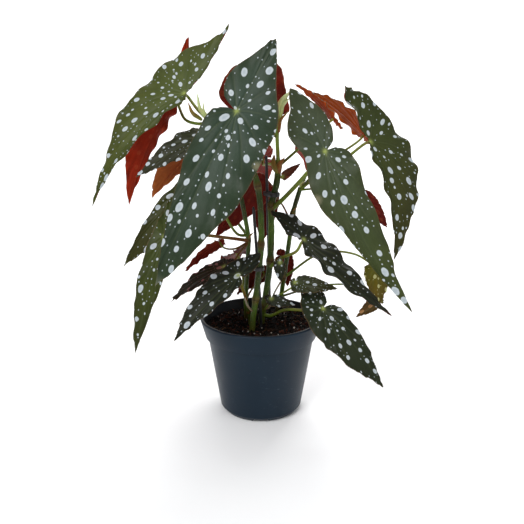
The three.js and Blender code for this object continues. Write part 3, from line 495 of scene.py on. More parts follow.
def potting_soil(tree):
    place = place_in(tree)
    crumbs, fine = place.noise(420, 6), place.noise(1800, 4)
    colour = carried(tree, "tint").shaded(crumbs.between(0.35, 0.65), (0.35, 0.32, 0.3))
    colour = colour.shaded(fine.between(0.6, 0.72, 0, 0.6), (2.2, 1.9, 1.6))
    relief = fine.bump(0.0006, 0.8, Normal=crumbs.bump(0.0015, 0.8))
    surface(tree, colour, 0.92, Normal=relief, Specular_IOR_Level=0.1)


def studio_paper(tree):
    tone = place_in(tree).noise(3)
    surface(tree, tone.mixed((0.86, 0.86, 0.86, 1), (0.9, 0.9, 0.9, 1)), 0.9)


LEAF_TOP, LEAF_UNDER, STEM_SKIN, POT_PLASTIC, BLACK_PLASTIC, POTTING_SOIL = (
    material(recipe) for recipe in (
        leaf_top, leaf_under, stem_skin, pot_plastic, black_plastic, potting_soil))


# ---- Meshes ----
def linked(name, data):
    made = bpy.data.objects.new(name, data)
    bpy.context.scene.collection.objects.link(made)
    return made


def circle(count):
    """Ways from the middle to points around it, as rows of cosine and sine."""
    angles = 2 * np.pi * np.arange(count) / count
    return np.column_stack([np.cos(angles), np.sin(angles)])


def bands(around, rings, first=0, closed=False):
    """Faces between rings of points, each ring next to the one before it."""
    faces = []
    for ring in range(rings if closed else rings - 1):
        inner, outer = first + ring * around, first + (ring + 1) % rings * around
        for j in range(around):
            k = (j + 1) % around
            faces.append((inner + j, outer + j, outer + k, inner + k))
    return faces


def disc(around, rings):
    """Faces of rings around one middle point, which comes first."""
    fan = [(0, 1 + j, 1 + (j + 1) % around) for j in range(around)]
    return fan + bands(around, rings, 1)


class Shell:
    """Gathers points, faces and what the points carry, then makes one object of them."""

    def __init__(self):
        self.places, self.maps, self.faces, self.face_slots, self.carried = [], [], [], [], {}

    def add(self, places, faces, maps, slot=0, numbers=None, colours=None):
        """numbers and colours have a row for each point, or one colour for all of them."""
        first = sum(len(block) for block in self.places)
        self.places.append(places)
        self.maps.append(maps)
        self.faces += [tuple(first + corner for corner in face) for face in faces]
        self.face_slots += [slot] * len(faces)
        rows = {name: np.insert(np.broadcast_to(colour, (len(places), 3)), 3, 1, axis=1)
                for name, colour in (colours or {}).items()}
        for name, values in {**(numbers or {}), **rows}.items():
            self.carried.setdefault(name, []).append(values)

    def make(self, name, materials, map_name, sharp=None):
        mesh = bpy.data.meshes.new(name)
        mesh.from_pydata(np.concatenate(self.places).tolist(), [], self.faces)
        mesh.polygons.foreach_set("use_smooth", [True] * len(mesh.polygons))
        mesh.polygons.foreach_set("material_index", self.face_slots)
        for material in materials:
            mesh.materials.append(material)
        corners = np.empty(len(mesh.loops), int)
        mesh.loops.foreach_get("vertex_index", corners)
        layer = mesh.uv_layers.new(name=map_name)
        layer.uv.foreach_set("vector", np.concatenate(self.maps)[corners].ravel())
        for key, blocks in self.carried.items():
            rows = np.concatenate(blocks)
            kind, field = ("FLOAT", "value") if rows.ndim == 1 else ("FLOAT_COLOR", "color")
            mesh.attributes.new(key, kind, "POINT").data.foreach_set(field, rows.ravel())
        if sharp is not None:
            ends = np.array([edge.vertices[:] for edge in mesh.edges])
            mesh.edges.foreach_set("use_edge_sharp", sharp[ends].all(axis=1))
        mesh.update()
        return linked(name, mesh)


def settle(piece, node):
    """The piece stands for the part's node of that name."""
    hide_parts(node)
    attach(piece, "root")


def unit(vector):
    return vector / np.linalg.norm(vector)


def near(gap, reach):
    """1 at a gap of 0, fading away over the reach."""
    return np.exp(-(gap / reach) ** 2)


def blended(first, second, shares):
    """Rows of colour from first to second."""
    shares = np.clip(shares, 0, 1)[:, None]
    return np.asarray(first) * (1 - shares) + np.asarray(second) * shares


def cubic(t, start, end, pull_start, pull_end):
    """The point at a share t of the smooth curve from start to end."""
    return ((2 * t**3 - 3 * t**2 + 1) * start + (t**3 - 2 * t**2 + t) * pull_start
            + (3 * t**2 - 2 * t**3) * end + (t**3 - t**2) * pull_end)


def smooth_line(points):
    """Points, a step apart, along the centripetal Catmull-Rom curve through the given ones."""
    given = [np.asarray(point, float) for point in points]
    ends = [2 * given[0] - given[1], *given, 2 * given[-1] - given[-2]]
    line = []
    for four in zip(ends, ends[1:], ends[2:], ends[3:]):
        before, start, end, after = four
        g0, g1, g2 = (math.sqrt(np.linalg.norm(b - a)) for a, b in zip(four, four[1:]))
        pull_start = (
            (start - before) / g0 - (end - before) / (g0 + g1) + (end - start) / g1) * g1
        pull_end = ((end - start) / g1 - (after - start) / (g1 + g2) + (after - end) / g2) * g1
        count = max(2, round(np.linalg.norm(end - start) / STEP))
        line += [cubic(t, start, end, pull_start, pull_end) for t in np.arange(count) / count]
    return np.array([*line, given[-1]])


def turned_frames(line):
    """Two directions across the line at each of its points, turning as little as they can."""
    along = np.gradient(line, axis=0)
    along /= np.linalg.norm(along, axis=1, keepdims=True)
    side = np.cross(along[0], (0.0, 0.0, 1.0) if abs(along[0][2]) < 0.9 else (1.0, 0.0, 0.0))
    sides = []
    for direction in along:
        side = unit(side - direction * side.dot(direction))
        sides.append(side)
    return np.array(sides), np.cross(along, sides)


STEP = 0.0015
AROUND = 18


def add_tube(shell, line, radii, colours, ridges=0, around=AROUND):
    """A closed round tube along the line. ridges is a share of the radius added around it."""
    across, up = (way[:, None, :] for way in turned_frames(line))
    cosines, sines = circle(around).T[:, None, :, None]
    swollen = np.asarray(radii)[:, None] * (1 + ridges)
    places = line[:, None, :] + (cosines * across + sines * up) * swollen[:, :, None]
    run = np.concatenate([[0], np.cumsum(np.linalg.norm(np.diff(line, axis=0), axis=1))])
    girth = 2 * np.pi * np.arange(around) / around * np.max(radii)
    maps = np.stack(np.broadcast_arrays(girth, run[:, None]), axis=-1)
    last = (len(line) - 1) * around
    faces = [(a, d, c, b) for a, b, c, d in bands(around, len(line))]
    faces += [tuple(reversed(range(around))), tuple(range(last, last + around))]
    tints = np.repeat(np.broadcast_to(colours, (len(line), 3)), around, axis=0)
    shell.add(places.reshape(-1, 3), faces, maps.reshape(-1, 2), colours={"tint": tints})


# ---- Blades ----
CORNERS = 18
SINUS = 12
SINUS_PLACE = (-0.0024, -0.0168)
CORNER_PULL = 0.6
CURL = 0.4
LOBE_BOW = 1.6
RIPPLE_SHIFT = 1.3
RING_CROWDING = 0.92
# Main veins: the corners of the edge that they run to, and how far each bows towards the tip.
VEINS = {0: 0, 2: 0.05, 3: 0.08, 4: 0.1, 5: 0.08, 6: 0.04, 8: 0, 10: 0.03, 14: 0.05, 15: 0.08,
         16: 0.05}
VEIN_WIDTH = 0.0011
VEIN_DEPTH = 0.00035
VEIN_STEPS = 24
VEIN_REACH = 0.97
QUILT_REACH = 0.006
QUILT_HEIGHT = 0.0003
RELIEF_FADE = 0.01
HUB_RADIUS = 0.0019
RIM_WIDTH = 0.0011
HALF_THICKNESS = 0.00034
EDGE_HALF_THICKNESS = 0.00016
# Small teeth of the edge, and its flutter up and down: how many around it, and their size.
TEETH = [(27, 0.0006), (44, 0.0004), (71, 0.0003)]
FLUTTER = [(19, 0.0007), (33, 0.0005)]
PLAIN_REACH = 0.03
# Colour of the middle and of the margin, as shares of the blade's own: the middle is lightened and
# blued as a painted sheen, the margin darkened as painted shade.
# Also how much darker the upper sides are than the colours they show in the light.
MIDDLE_PAINTED_SHEEN = (1.12, 1.16, 1.3)
MARGIN_PAINTED_SHADE = (0.84, 0.82, 0.66)
UNDER_MARGIN = (1.35, 1.5, 1.3)
BLADE_DEPTH = 0.5
TIP_START = 0.93


def corners(blade):
    """Corners of the flat blade, once around from the tip by the wide side, in lengths."""
    wide, narrow, lobe, blunt = (blade[key] for key in ("wide", "narrow", "lobe", "blunt"))
    cosine, sine = math.cos(math.radians(blade["lean"])), math.sin(math.radians(blade["lean"]))
    outer = wide * blade["girth"]
    inner = outer * blade["inner"]
    slim = 1 - blade["taper"]
    lobed = [(-0.5, 0.64 * outer), (-0.86, 0.3 * outer * blunt), (-1, 0),
             (-0.8, -0.28 * inner * blunt), (-0.42, -0.44 * inner), (-0.12, -0.36 * inner)]
    return np.array([
        (1, 0), (0.86, 0.3 * wide * slim), (0.64, 0.7 * wide * slim),
        (0.42, 0.95 * wide * (1 - blade["taper"] / 2)), (0.2, 1.03 * wide * blade["waist"]),
        (-0.03, 0.93 * wide),
        *[(x * lobe * cosine - y * sine, x * lobe * sine + y * cosine) for x, y in lobed],
        SINUS_PLACE,
        (0.02, -0.66 * narrow), (0.1, -1.02 * narrow), (0.32, -narrow), (0.6, -0.7 * narrow),
        (0.84, -0.28 * narrow)])


def edge(blade):
    """The smooth edge through the corners, sharp at the tip and at the sinus."""
    points = corners(blade)
    count = blade["per_span"]
    line = []
    for i, start in enumerate(points):
        following = (i + 1) % CORNERS
        end = points[following]
        pull = (end - start) * CORNER_PULL
        before = start - pull if i in (0, SINUS) else points[i - 1]
        after = end + pull if following in (0, SINUS) else points[(i + 2) % CORNERS]
        for t in np.arange(count) / count:
            along = (i + t) / CORNERS
            wave = math.sin(2 * math.pi * blade["scallops"] * along + blade["phase"])
            swell = 1 + blade["scallop"] * wave * math.sqrt(math.sin(math.pi * along))
            line.append(swell * cubic(t, start, end, (end - before) / 2, (after - start) / 2))
    return np.array(line)


def placer(blade):
    """A function that places flat points in space, the blade's upward way, and its length."""
    navel, tip = np.array(blade["navel"]), np.array(blade["tip"])
    length = np.linalg.norm(tip - navel)
    chord = (tip - navel) / length
    faces = np.array(blade["faces"], float)
    up = unit(faces - chord * faces.dot(chord))
    across = np.cross(chord, up) * blade["side"]
    fold = math.radians(blade["fold"])

    def bowed(height, x):
        bow = 4 * x * (1 - x), LOBE_BOW * x * (1 + x / blade["lobe"])
        return height * np.where(x >= 0, *bow)

    def place(flat, relief):
        x, y = flat.T
        sag = np.where(x < 0, blade["droop"] * x * x / blade["lobe"], 0)
        reach = np.abs(y)
        part = reach / np.where(y > 0, blade["wide"], blade["narrow"])
        turn = 2 * math.pi * blade["waves"] * x + blade["phase"] + np.where(y < 0, RIPPLE_SHIFT, 0)
        lift = (reach * math.sin(fold) - CURL * y * y
                + blade["wave"] * np.minimum(part, 1.2) ** 2 * np.sin(turn))
        sideways = bowed(blade["bend"], x) + y * math.cos(fold)
        rise = (bowed(blade["arch"], x) - sag + lift) * length + relief
        ways = (x * length, chord), (sideways * length, across), (rise, up)
        return navel + sum(way * share[:, None] for share, way in ways)

    return place, up, length


def vein_distance(flat, rim, length):
    """Metres from each flat point to the nearest main vein."""
    nearest = np.full(len(flat), 1.0)
    steps = np.linspace(0, 1, VEIN_STEPS)
    for corner, bow in VEINS.items():
        end = rim[corner * len(rim) // CORNERS] * VEIN_REACH
        line = steps[:, None] * end
        line[:, 0] -= bow * np.sin(math.pi * steps) * np.hypot(*end)
        for a, b in zip(line, line[1:]):
            run = b - a
            t = np.clip(((flat - a) @ run) / run.dot(run), 0, 1)
            nearest = np.minimum(nearest, np.hypot(*(flat - a - t[:, None] * run).T) * length)
    return nearest


def blade_piece(name, blade):
    rings = blade["rings"]
    rim = edge(blade)
    place, up, length = placer(blade)
    count = len(rim)
    around = np.arange(count) / count
    teeth, flutter = (
        sum(size * np.sin(2 * math.pi * (turns * around + draw.random()))
            for turns, size in sizes) for sizes in (TEETH, FLUTTER))
    to_points = np.abs(around[:, None] - (0, 1, SINUS / CORNERS)).min(axis=1)
    plain = np.minimum(1, to_points / PLAIN_REACH)
    rim = rim * (1 + teeth * plain / length)[:, None]
    # Rings lie closer together near the edge, where the blade ripples most.
    shares = np.sin(np.arange(1, rings + 1) / rings * math.pi / 2 * RING_CROWDING)
    shares /= shares[-1]
    flat = np.concatenate([[(0, 0)], *[rim * share for share in shares]])
    inward = np.concatenate([[0], np.repeat(shares, count)])
    to_rim = np.concatenate([
        [1.0], *[np.hypot(*(rim * (1 - share)).T) * length for share in shares]])
    vein_gap = vein_distance(flat, rim, length)
    vein = near(vein_gap, VEIN_WIDTH) * (1 - inward ** 6)
    relief = QUILT_HEIGHT * (1 - near(vein_gap, QUILT_REACH)) - VEIN_DEPTH * vein
    relief *= np.minimum(1, to_rim / RELIEF_FADE)
    relief += np.concatenate([[0], np.tile(flutter * plain, rings)]) * inward ** 5
    half = EDGE_HALF_THICKNESS + (HALF_THICKNESS - EDGE_HALF_THICKNESS) * (1 - inward ** 4)
    numbers = {
        "vein": vein,
        "hub": near(np.hypot(*flat.T) * length, HUB_RADIUS),
        "rim": np.clip(1 - to_rim / RIM_WIDTH, 0, 1),
        "spotting": np.full(len(flat), blade["spotting"]),
        "dry": sum([near(np.hypot(*(flat - spot).T), reach) for spot, reach in blade["dry"]],
                   np.zeros(len(flat))),
    }
    base, far, under = (linear(srgb) for srgb in (blade["colours"][0], *blade["colours"][-2:]))
    at_tip = linear(blade["tip_colour"]) if blade["tip_colour"] else far
    green = blended(base, far, flat[:, 0] * 1.2 + 0.1)
    # Towards the tip the colour goes over to the tip colour; on leaf_front_left that is a painted
    # highlight.
    green = blended(green, at_tip, (flat[:, 0] - TIP_START) / (1 - TIP_START))
    colours = {
        # The upper side's tint carries a painted sheen in the middle and painted shade towards the
        # margin.
        "tint": green * blended(MIDDLE_PAINTED_SHEEN, MARGIN_PAINTED_SHADE, inward ** 2) * BLADE_DEPTH,
        "tint_under": blended(under, under * UNDER_MARGIN, inward ** 3),
        "tint_spot": linear(blade["spot_colour"]),
        "seed": (draw.uniform(0, 1), draw.uniform(0, 1), 0),
    }
    faces = disc(count, rings)
    turned = [face[::-1] for face in faces]
    upper, lower = (turned, faces) if blade["side"] > 0 else (faces, turned)
    middle = place(flat, relief)
    depth = up * half[:, None]
    shell = Shell()
    shell.add(middle + depth, upper, flat * length, 0, numbers, colours)
    shell.add(middle - depth, lower, flat * length, 1, numbers, colours)
    total = len(flat)
    ring = list(range(total - count, total))
    strips = [(a, a + total, b + total, b) for a, b in zip(ring, ring[1:] + ring[:1])]
    shell.faces += strips if blade["side"] < 0 else [strip[::-1] for strip in strips]
    shell.face_slots += [0] * count
    on_edge = np.arange(2 * total) % total >= ring[0]
    settle(shell.make(name + "_blade", [LEAF_TOP, LEAF_UNDER], "flat", on_edge), name)


# ---- Canes and stalks ----
CANE_GREEN = linear((74, 102, 20))
CANE_DARK = linear((44, 62, 14))
CROWN_GREEN = linear((122, 146, 58))
NODE_BROWN = linear((104, 74, 26))
STALK_GREEN = linear((94, 114, 26))
STALK_PALE = linear((138, 148, 66))
STALK_BROWN = linear((116, 74, 28))
BUD_COLOURS = linear((168, 184, 104)), linear((214, 222, 170))
BRACT_TAN = linear((134, 84, 30))
BRACT_PALE = linear((150, 116, 56))
BRACT_GREEN = linear((118, 128, 46))
DRY_GREY = linear((150, 138, 118))
STALK_APPROACH = 0.007
THINNING = 0.004
STALK_AROUND = 14
DRY_STALK_RADIUS = 0.001
DRY_STALK_AROUND = 12
SOIL_DARKENING_REACH = 0.012
ROOT_END = SOIL_LEVEL - SOIL_HOLE_DEPTH + 0.0003
FOOT_TOP = SOIL_LEVEL + 0.008


def rooted(row):
    """The route of a cane or stick, with its upright foot in the soil before it."""
    return [(*row["foot"], ROOT_END), (*row["foot"], FOOT_TOP), *row["route"]]


def add_cane(shell, row):
    radius = row["radius"]
    crown = row.get("crown", dict(radius=radius, route=[]))
    line = smooth_line([*rooted(row), *crown["route"]])
    gap = np.min([np.full(len(line), 1.0),
                  *[np.linalg.norm(line - joint, axis=1) for joint in row["joints"]]], axis=0)
    knots, scars = near(gap, radius * 1.3), near(gap, radius * 0.28)
    run = np.arange(len(line)) * STEP
    slight = 1 + 0.03 * np.sin(run * 420) + 0.02 * np.sin(run * 1150 + 1)
    thin = np.clip((line[:, 2] - row["route"][-1][2]) / THINNING, 0, 1)
    slim = 1 - (1 - crown["radius"] / radius) * thin
    # Canes go darker and browner towards the soil, fading over this reach above it.
    low = np.exp(-np.maximum(line[:, 2] - SOIL_LEVEL, 0) / SOIL_DARKENING_REACH)[:, None]
    knot, scar = knots[:, None], scars[:, None]
    colours = blended(CANE_GREEN, CANE_DARK, 0.5 + 0.5 * np.sin(run * 90))
    colours = colours * (1 - 0.75 * knot) + NODE_BROWN * 0.75 * knot
    colours = (colours * (1 - 0.6 * low) + NODE_BROWN * 0.35 * low) * (1 - 0.5 * scar)
    add_tube(shell, line, radius * (slight * slim + 0.36 * knots - 0.08 * scars),
             blended(colours, CROWN_GREEN, thin * (1 - knots)))
    return line[-1]


def add_stalk(shell, blade):
    up = placer(blade)[1]
    navel = np.array(blade["navel"])
    ends = navel - up * STALK_APPROACH, navel - up * HALF_THICKNESS * 0.6
    line = smooth_line([*blade["stalk"], *ends])
    part = np.linspace(0, 1, len(line))
    flare = 0.3 * np.exp(-part / 0.06) + 0.25 * np.exp(-(1 - part) / 0.03)
    greens = (STALK_BROWN, STALK_GREEN) if blade["brown_stalk"] else (STALK_GREEN, STALK_PALE)
    add_tube(shell, line, blade["stalk_radius"] * (1.02 - 0.2 * part + flare),
             blended(*greens, part ** 2), around=STALK_AROUND)


def add_sheath(shell, start, end, radius, colours):
    """A pointed bud scale or bract, a little flattened, with ridges along it."""
    way = np.subtract(end, start)
    part = np.linspace(0, 1, 26)
    bow = np.cross(unit(way), (0.0, 1.0, 0.0)) * 0.12 * np.linalg.norm(way)
    line = start + way * part[:, None] + bow * np.sin(math.pi * part)[:, None] ** 2
    shape = np.interp(part, [0, 0.08, 0.35, 0.75, 0.97, 1], [0.45, 0.8, 1, 0.55, 0.1, 0.02])
    angles = 2 * np.pi * np.arange(AROUND) / AROUND
    add_tube(shell, line, radius * shape, blended(*colours, part),
             0.06 * np.cos(6 * angles) + 0.22 * np.cos(2 * angles))


def cane_piece(name, row):
    shell = Shell()
    top = add_cane(shell, row)
    if "bud" in row:
        tip, radius = row["bud"]["tip"], row["bud"]["radius"]
        way = np.subtract(tip, top)
        add_sheath(shell, top - way * 0.1, tip, radius, BUD_COLOURS)
        add_sheath(shell, top, top + way * 0.7 + (0.002, -0.002, 0), radius * 0.6, BUD_COLOURS)
    for blade in BLADES.values():
        if blade["cane"] == name:
            add_stalk(shell, blade)
    for number, (cane, *sheath) in enumerate(BRACTS):
        if cane == name:
            colours = (BRACT_GREEN, BRACT_TAN) if number % 2 else (BRACT_TAN, BRACT_PALE)
            add_sheath(shell, *sheath, colours)
    if name in DRY_STALKS:
        line = smooth_line(DRY_STALKS[name])
        part = np.linspace(0, 1, len(line))
        add_tube(shell, line, DRY_STALK_RADIUS * (1.1 - 0.3 * part),
                 blended(STALK_BROWN, DRY_GREY, part * 2), around=DRY_STALK_AROUND)
    settle(shell.make(name + "_stems", [STEM_SKIN], "skin"), name)


# ---- Pot ----
CHAMFER = 0.0048
FOOT_WIDTH = 0.003
BASE_LIFT = 0.0026
BASE_THICKNESS = 0.002
FLOOR_RISE = 0.002
CENTRE_RADIUS = 0.016
BODY_TOP_RADIUS = 0.0525
COLLAR_STEP = 0.0008
LIP_ROUND = 0.0012
LIP_WIDTH = 0.0026
NOTCHES = 4
NOTCH_WIDTH = 0.015
NOTCH_DEPTH = 0.012
NOTCH_FLARE = 0.001
NOTCH_TAPER = 0.0008
HOLES = 6
HOLE_RADIUS = 0.0035
HOLE_CIRCLE = 0.025
HOLE_SIDES = 24
HOLE_LENGTH = 0.03
POT_SIDES = 160
SOFT_WIDTH = 0.0005
SOFT_ANGLE = 25
SHARP_ANGLE = 40
body_foot_radius = FOOT_RADIUS + 0.004
floor_top = BASE_LIFT + BASE_THICKNESS
soil_foot_radius = body_foot_radius - WALL
wall_inside = BODY_TOP_RADIUS - WALL
lip_inside = RIM_RADIUS - LIP_WIDTH
POT_PROFILE = [
    (FOOT_RADIUS - FOOT_WIDTH, 0), (FOOT_RADIUS, 0), (body_foot_radius, CHAMFER),
    (BODY_TOP_RADIUS, collar_foot - COLLAR_STEP), (COLLAR_FOOT_RADIUS, collar_foot),
    (RIM_RADIUS, POT_HEIGHT - LIP_ROUND), (RIM_RADIUS - LIP_ROUND, POT_HEIGHT),
    (lip_inside, POT_HEIGHT), (wall_inside, collar_foot),
    (soil_foot_radius, floor_top + FLOOR_RISE), (CENTRE_RADIUS, floor_top),
    (0, floor_top), (0, 0), (CENTRE_RADIUS, 0), (CENTRE_RADIUS, BASE_LIFT),
    (FOOT_RADIUS - FOOT_WIDTH, BASE_LIFT)]


def built(name, build):
    """An object of the mesh that was built."""
    mesh = bpy.data.meshes.new(name)
    build.to_mesh(mesh)
    build.free()
    return linked(name, mesh)


def turned_body(name, profile, sides):
    """A closed body of revolution about +Z from its corners, each a radius and a height."""
    build = bmesh.new()
    rings = [[build.verts.new((radius * cosine, radius * sine, height))
              for cosine, sine in circle(sides if radius else 1)] for radius, height in profile]
    for low, high in zip(rings, rings[1:] + rings[:1]):
        for i in range(sides):
            k = (i + 1) % sides
            face = [low[i % len(low)], low[k % len(low)], high[k % len(high)], high[i % len(high)]]
            different = list(dict.fromkeys(face))
            if len(different) > 2:
                build.faces.new(different)
    bmesh.ops.recalc_face_normals(build, faces=build.faces)
    return built(name, build)


def drain_tools():
    """What is cut from the pot: notches through its foot ring and holes through its base."""
    cutters = bmesh.new()
    for cosine, sine in circle(NOTCHES):
        for vertex in bmesh.ops.create_cube(cutters, size=1)["verts"]:
            x, y, z = vertex.co
            half = NOTCH_WIDTH / 2 + (NOTCH_FLARE if z < 0 else -NOTCH_TAPER)
            x, y = 2 * x * half, y * NOTCH_DEPTH - FOOT_RADIUS
            vertex.co = (x * cosine - y * sine, x * sine + y * cosine, 2 * z * BASE_LIFT)
    for x, y in HOLE_CIRCLE * circle(HOLES):
        bmesh.ops.create_cone(
            cutters, cap_ends=True, segments=HOLE_SIDES, radius1=HOLE_RADIUS,
            radius2=HOLE_RADIUS, depth=HOLE_LENGTH, matrix=Matrix.Translation((x, y, 0)))
    return built("drain_tools", cutters)


def pot_piece():
    pot = turned_body("pot_shell", POT_PROFILE, POT_SIDES)
    tools = drain_tools()
    cut = pot.modifiers.new("drains", "BOOLEAN")
    cut.object, cut.operation, cut.solver = tools, "DIFFERENCE", "EXACT"
    soft = pot.modifiers.new("soft_edges", "BEVEL")
    soft.width, soft.segments, soft.limit_method = SOFT_WIDTH, 3, "ANGLE"
    soft.angle_limit = math.radians(SOFT_ANGLE)
    bpy.context.view_layer.update()
    mesh = bpy.data.meshes.new_from_object(
        pot.evaluated_get(bpy.context.evaluated_depsgraph_get()))
    pot.modifiers.clear()
    pot.data = mesh
    bpy.data.objects.remove(tools)
    mesh.polygons.foreach_set("use_smooth", [True] * len(mesh.polygons))
    mesh.set_sharp_from_angle(angle=math.radians(SHARP_ANGLE))
    mesh.materials.clear()
    mesh.materials.append(POT_PLASTIC)
    settle(pot, "pot")


# ---- Soil ----
SOIL_MOUND = 0.00195
SOIL_SINK = 0.0008
SOIL_GAP = 0.0006
SOIL_BOTTOM = floor_top + 0.0023
# Lumps of its top: their height and how close they lie.
LUMPS = ((0.0011, 95), (0.0009, 260), (0.0006, 620))
SOIL_AROUND = 220
SOIL_RINGS = 64
CRUMBS = 1500
TWIGS = 46
WHITE_SHARE = 0.035
WHITE_SIZES = (0.0005, 0.0011)
CRUMB_SIZE = 0.00045
CRUMB_GROWTH = 0.0014
CRUMB_MARGIN = 0.002
TWIG_MARGIN = 0.008
TWIG_LENGTHS = (0.004, 0.011)
TWIG_RADII = (0.0002, 0.0005)
TWIG_LIFT = 0.0007
TWIG_BEND = 0.12
SOIL_DARK = linear((15, 11, 8))
CRUMB_COLOURS = [linear(srgb) for srgb in (
    (16, 12, 9), (24, 17, 12), (40, 24, 16), (62, 34, 24), (70, 42, 30), (12, 10, 8))]
PERLITE = linear((188, 186, 178))
TWIG_COLOURS = [linear(srgb) for srgb in ((70, 48, 30), (104, 80, 54), (46, 32, 22))]
TWIG_SHAPE = np.array([0.7, 1, 1.1, 1, 0.9, 0.6])


def soil_radius(height):
    """Radius of the pot's inside at a height, less the gap that the soil keeps to it."""
    heights = floor_top + FLOOR_RISE, collar_foot, POT_HEIGHT
    return np.interp(height, heights, (soil_foot_radius, wall_inside, lip_inside)) - SOIL_GAP


SOIL_TOP_RADIUS = soil_radius(SOIL_LEVEL)


def soil_height(x, y):
    """Height of the lumpy top of the soil."""
    share = min(1, math.hypot(x, y) / SOIL_TOP_RADIUS)
    place = Vector((x, y, 0))
    lumps = sum(height * noise.noise(place * closeness) for height, closeness in LUMPS)
    return SOIL_LEVEL - SOIL_SINK + SOIL_MOUND * (1 - share ** 2) + lumps


def add_soil_body(shell):
    ways = circle(SOIL_AROUND)
    top = (SOIL_TOP_RADIUS - 0.0002) * np.arange(1, SOIL_RINGS + 1) / SOIL_RINGS
    places = [(0, 0, soil_height(0, 0))]
    places += [(x, y, soil_height(x, y)) for radius in top for x, y in radius * ways]
    for height in (SOIL_LEVEL - 0.003, collar_foot, SOIL_BOTTOM):
        places += [(x, y, height) for x, y in soil_radius(height) * ways]
    faces = disc(SOIL_AROUND, SOIL_RINGS + 3)
    last = len(places) - SOIL_AROUND
    faces += [(last + j, len(places), last + (j + 1) % SOIL_AROUND) for j in range(SOIL_AROUND)]
    places = np.array([*places, (0, 0, SOIL_BOTTOM)])
    shell.add(places, faces, places[:, :2], colours={"tint": SOIL_DARK})


def scattered(reach):
    """A place drawn anywhere within reach of the middle of the soil."""
    angle = draw.uniform(0, 2 * math.pi)
    distance = reach * math.sqrt(draw.random())
    return distance * math.cos(angle), distance * math.sin(angle)


def add_crumbs(shell):
    """Loose crumbs of soil and reddish bark, with a few white grains of perlite."""
    ball = bmesh.new()
    bmesh.ops.create_icosphere(ball, subdivisions=1, radius=1)
    places = np.array([vertex.co[:] for vertex in ball.verts])
    faces = [tuple(vertex.index for vertex in face.verts) for face in ball.faces]
    ball.free()
    for _ in range(CRUMBS):
        x, y = scattered(SOIL_TOP_RADIUS - CRUMB_MARGIN)
        size = CRUMB_SIZE + CRUMB_GROWTH * draw.random() ** 3
        white = draw.random() < WHITE_SHARE
        if white:
            size = draw.uniform(*WHITE_SIZES)
        stretch = np.array([draw.uniform(0.6, 1.5) for _ in range(3)])
        bumps = np.array([draw.uniform(0.75, 1.25) for _ in places])
        lump = places * bumps[:, None] * stretch * size
        lump = lump + (x, y, soil_height(x, y) + size * draw.uniform(0, 0.7))
        tint = PERLITE if white else CRUMB_COLOURS[draw.randrange(len(CRUMB_COLOURS))]
        shell.add(lump, faces, lump[:, :2], colours={"tint": tint * draw.uniform(0.7, 1.2)})


def add_twigs(shell):
    for _ in range(TWIGS):
        middle = scattered(SOIL_TOP_RADIUS - TWIG_MARGIN)
        heading = draw.uniform(0, math.pi)
        length = draw.uniform(*TWIG_LENGTHS)
        ahead = np.array([math.cos(heading), math.sin(heading)])
        aside = np.array([-ahead[1], ahead[0]])
        line = []
        for part in np.linspace(-0.5, 0.5, len(TWIG_SHAPE)):
            bend = TWIG_BEND * length * math.cos(math.pi * part)
            x, y = middle + length * part * ahead + bend * aside
            line.append((x, y, soil_height(x, y) + TWIG_LIFT))
        radii = draw.uniform(*TWIG_RADII) * TWIG_SHAPE
        tint = TWIG_COLOURS[draw.randrange(len(TWIG_COLOURS))]
        add_tube(shell, np.array(line), radii, tint, around=6)


def soil_piece():
    shell = Shell()
    add_soil_body(shell)
    add_crumbs(shell)
    add_twigs(shell)
    settle(shell.make("soil_bed", [POTTING_SOIL], "soil"), "soil")


# ---- Sticks and ties ----
TIE_WIDTH = 0.004
TIE_THICKNESS = 0.0014
TIE_CLEARANCE = 0.001
TIE_AROUND = 48
TIE_SECTION = 16


def stick_piece(name, row):
    line = smooth_line(rooted(row))
    radii = row["radius"] * (1 + 0.04 * np.sin(np.arange(len(line)) * STEP * 1700))
    radii[-2:] *= 0.85, 0.4
    shell = Shell()
    add_tube(shell, line, radii, (0, 0, 0))
    settle(shell.make(name + "_rod", [BLACK_PLASTIC], "skin"), name)


def tie_piece(name, height, members):
    """A moulded band with rounded edges, drawn taut around two stems."""
    ways = circle(TIE_AROUND)
    supports = []
    for member in members:
        row = CANES.get(member) or STICKS[member]
        route = np.array(rooted(row)[1:])
        centre = [np.interp(height, route[:, 2], route[:, axis]) for axis in (0, 1)]
        supports.append(ways @ centre + row["radius"])
    support = np.max(supports, axis=0)
    section = circle(TIE_SECTION)
    section /= np.abs(section).max(axis=1, keepdims=True) ** 0.6
    section /= np.abs(section).max()
    places = []
    for across, up in section:
        reach = support + TIE_CLEARANCE + TIE_THICKNESS / 2 * (1 + across)
        for i in range(TIE_AROUND):
            pair = [i, (i + 1) % TIE_AROUND]
            x, y = np.linalg.solve(ways[pair], reach[pair])
            places.append((x, y, height + up * TIE_WIDTH / 2))
    places = np.array(places)
    faces = [(a, d, c, b) for a, b, c, d in bands(TIE_AROUND, TIE_SECTION, closed=True)]
    shell = Shell()
    shell.add(places, faces, places[:, :2])
    settle(shell.make(name + "_band", [BLACK_PLASTIC], "skin"), name)


for name, blade_row in BLADES.items():
    blade_piece(name, blade_row)
for name, row in CANES.items():
    cane_piece(name, row)
pot_piece()
soil_piece()
for name, row in STICKS.items():
    stick_piece(name, row)
for name, (height, members) in TIES.items():
    tie_piece(name, height, members)

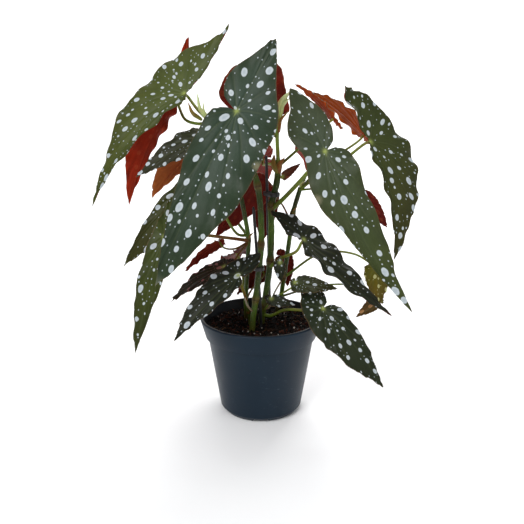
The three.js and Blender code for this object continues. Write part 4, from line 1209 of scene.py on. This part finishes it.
# ---- Camera, floor and light ----
CAMERA_PLACE = (0, -0.550, 0.2885)
CAMERA_DOWN = 14.1
CAMERA_LENS = 40.12
CAMERA_SHIFT = 0.0021
SWEEP_SIDE = 3.5
SWEEP_FRONT = -2.5
SWEEP_TURN = 0.9
SWEEP_RADIUS = 0.8
SWEEP_TOP = 3.2
AIM = (0, 0, 0.2)


def studio_sweep():
    """A pale floor that curves up into a wall behind the plant."""
    curve = [(SWEEP_TURN + SWEEP_RADIUS * math.sin(a), SWEEP_RADIUS * (1 - math.cos(a)))
             for a in np.linspace(0.1, math.pi / 2, 24)]
    curve = [(SWEEP_FRONT, 0), (SWEEP_TURN, 0), *curve, (SWEEP_TURN + SWEEP_RADIUS, SWEEP_TOP)]
    places = [(x, y, z) for y, z in curve for x in (-SWEEP_SIDE, SWEEP_SIDE)]
    faces = [(i, i + 1, i + 3, i + 2) for i in range(0, len(places) - 2, 2)]
    mesh = bpy.data.meshes.new("studio_sweep")
    mesh.from_pydata(places, [], faces)
    mesh.polygons.foreach_set("use_smooth", [True] * len(faces))
    mesh.materials.append(material(studio_paper))
    sweep = linked("studio_sweep", mesh)


def soft_light(name, place, aim, size, power):
    data = bpy.data.lights.new(name, "AREA")
    data.shape, data.energy = "RECTANGLE", power
    data.size, data.size_y = size
    light = linked(name, data)
    light.location = place
    light.rotation_euler = (Vector(aim) - Vector(place)).to_track_quat("-Z", "Y").to_euler()


studio_sweep()
soft_light("key", (-0.8, -1.3, 1.5), AIM, (1.0, 1.0), 27)
soft_light("fill", (1.3, -0.9, 0.9), AIM, (1.2, 1.2), 5)
soft_light("back", (0.2, 1.3, 1.7), (0, 0.8, 0.25), (1.6, 0.9), 40)
world = bpy.data.worlds.new("studio")
world.use_nodes = True
sky = world.node_tree.nodes["Background"].inputs
sky["Color"].default_value = (0.95, 0.97, 1, 1)
sky["Strength"].default_value = 0.45
camera = linked("camera", bpy.data.cameras.new("camera"))
camera.data.sensor_width = 36
camera.data.lens = CAMERA_LENS
camera.data.shift_x = CAMERA_SHIFT
camera.location = CAMERA_PLACE
camera.rotation_euler = (math.radians(90 - CAMERA_DOWN), 0, 0)
scene = bpy.context.scene
scene.world, scene.camera = world, camera
scene.view_settings.view_transform = "Standard"
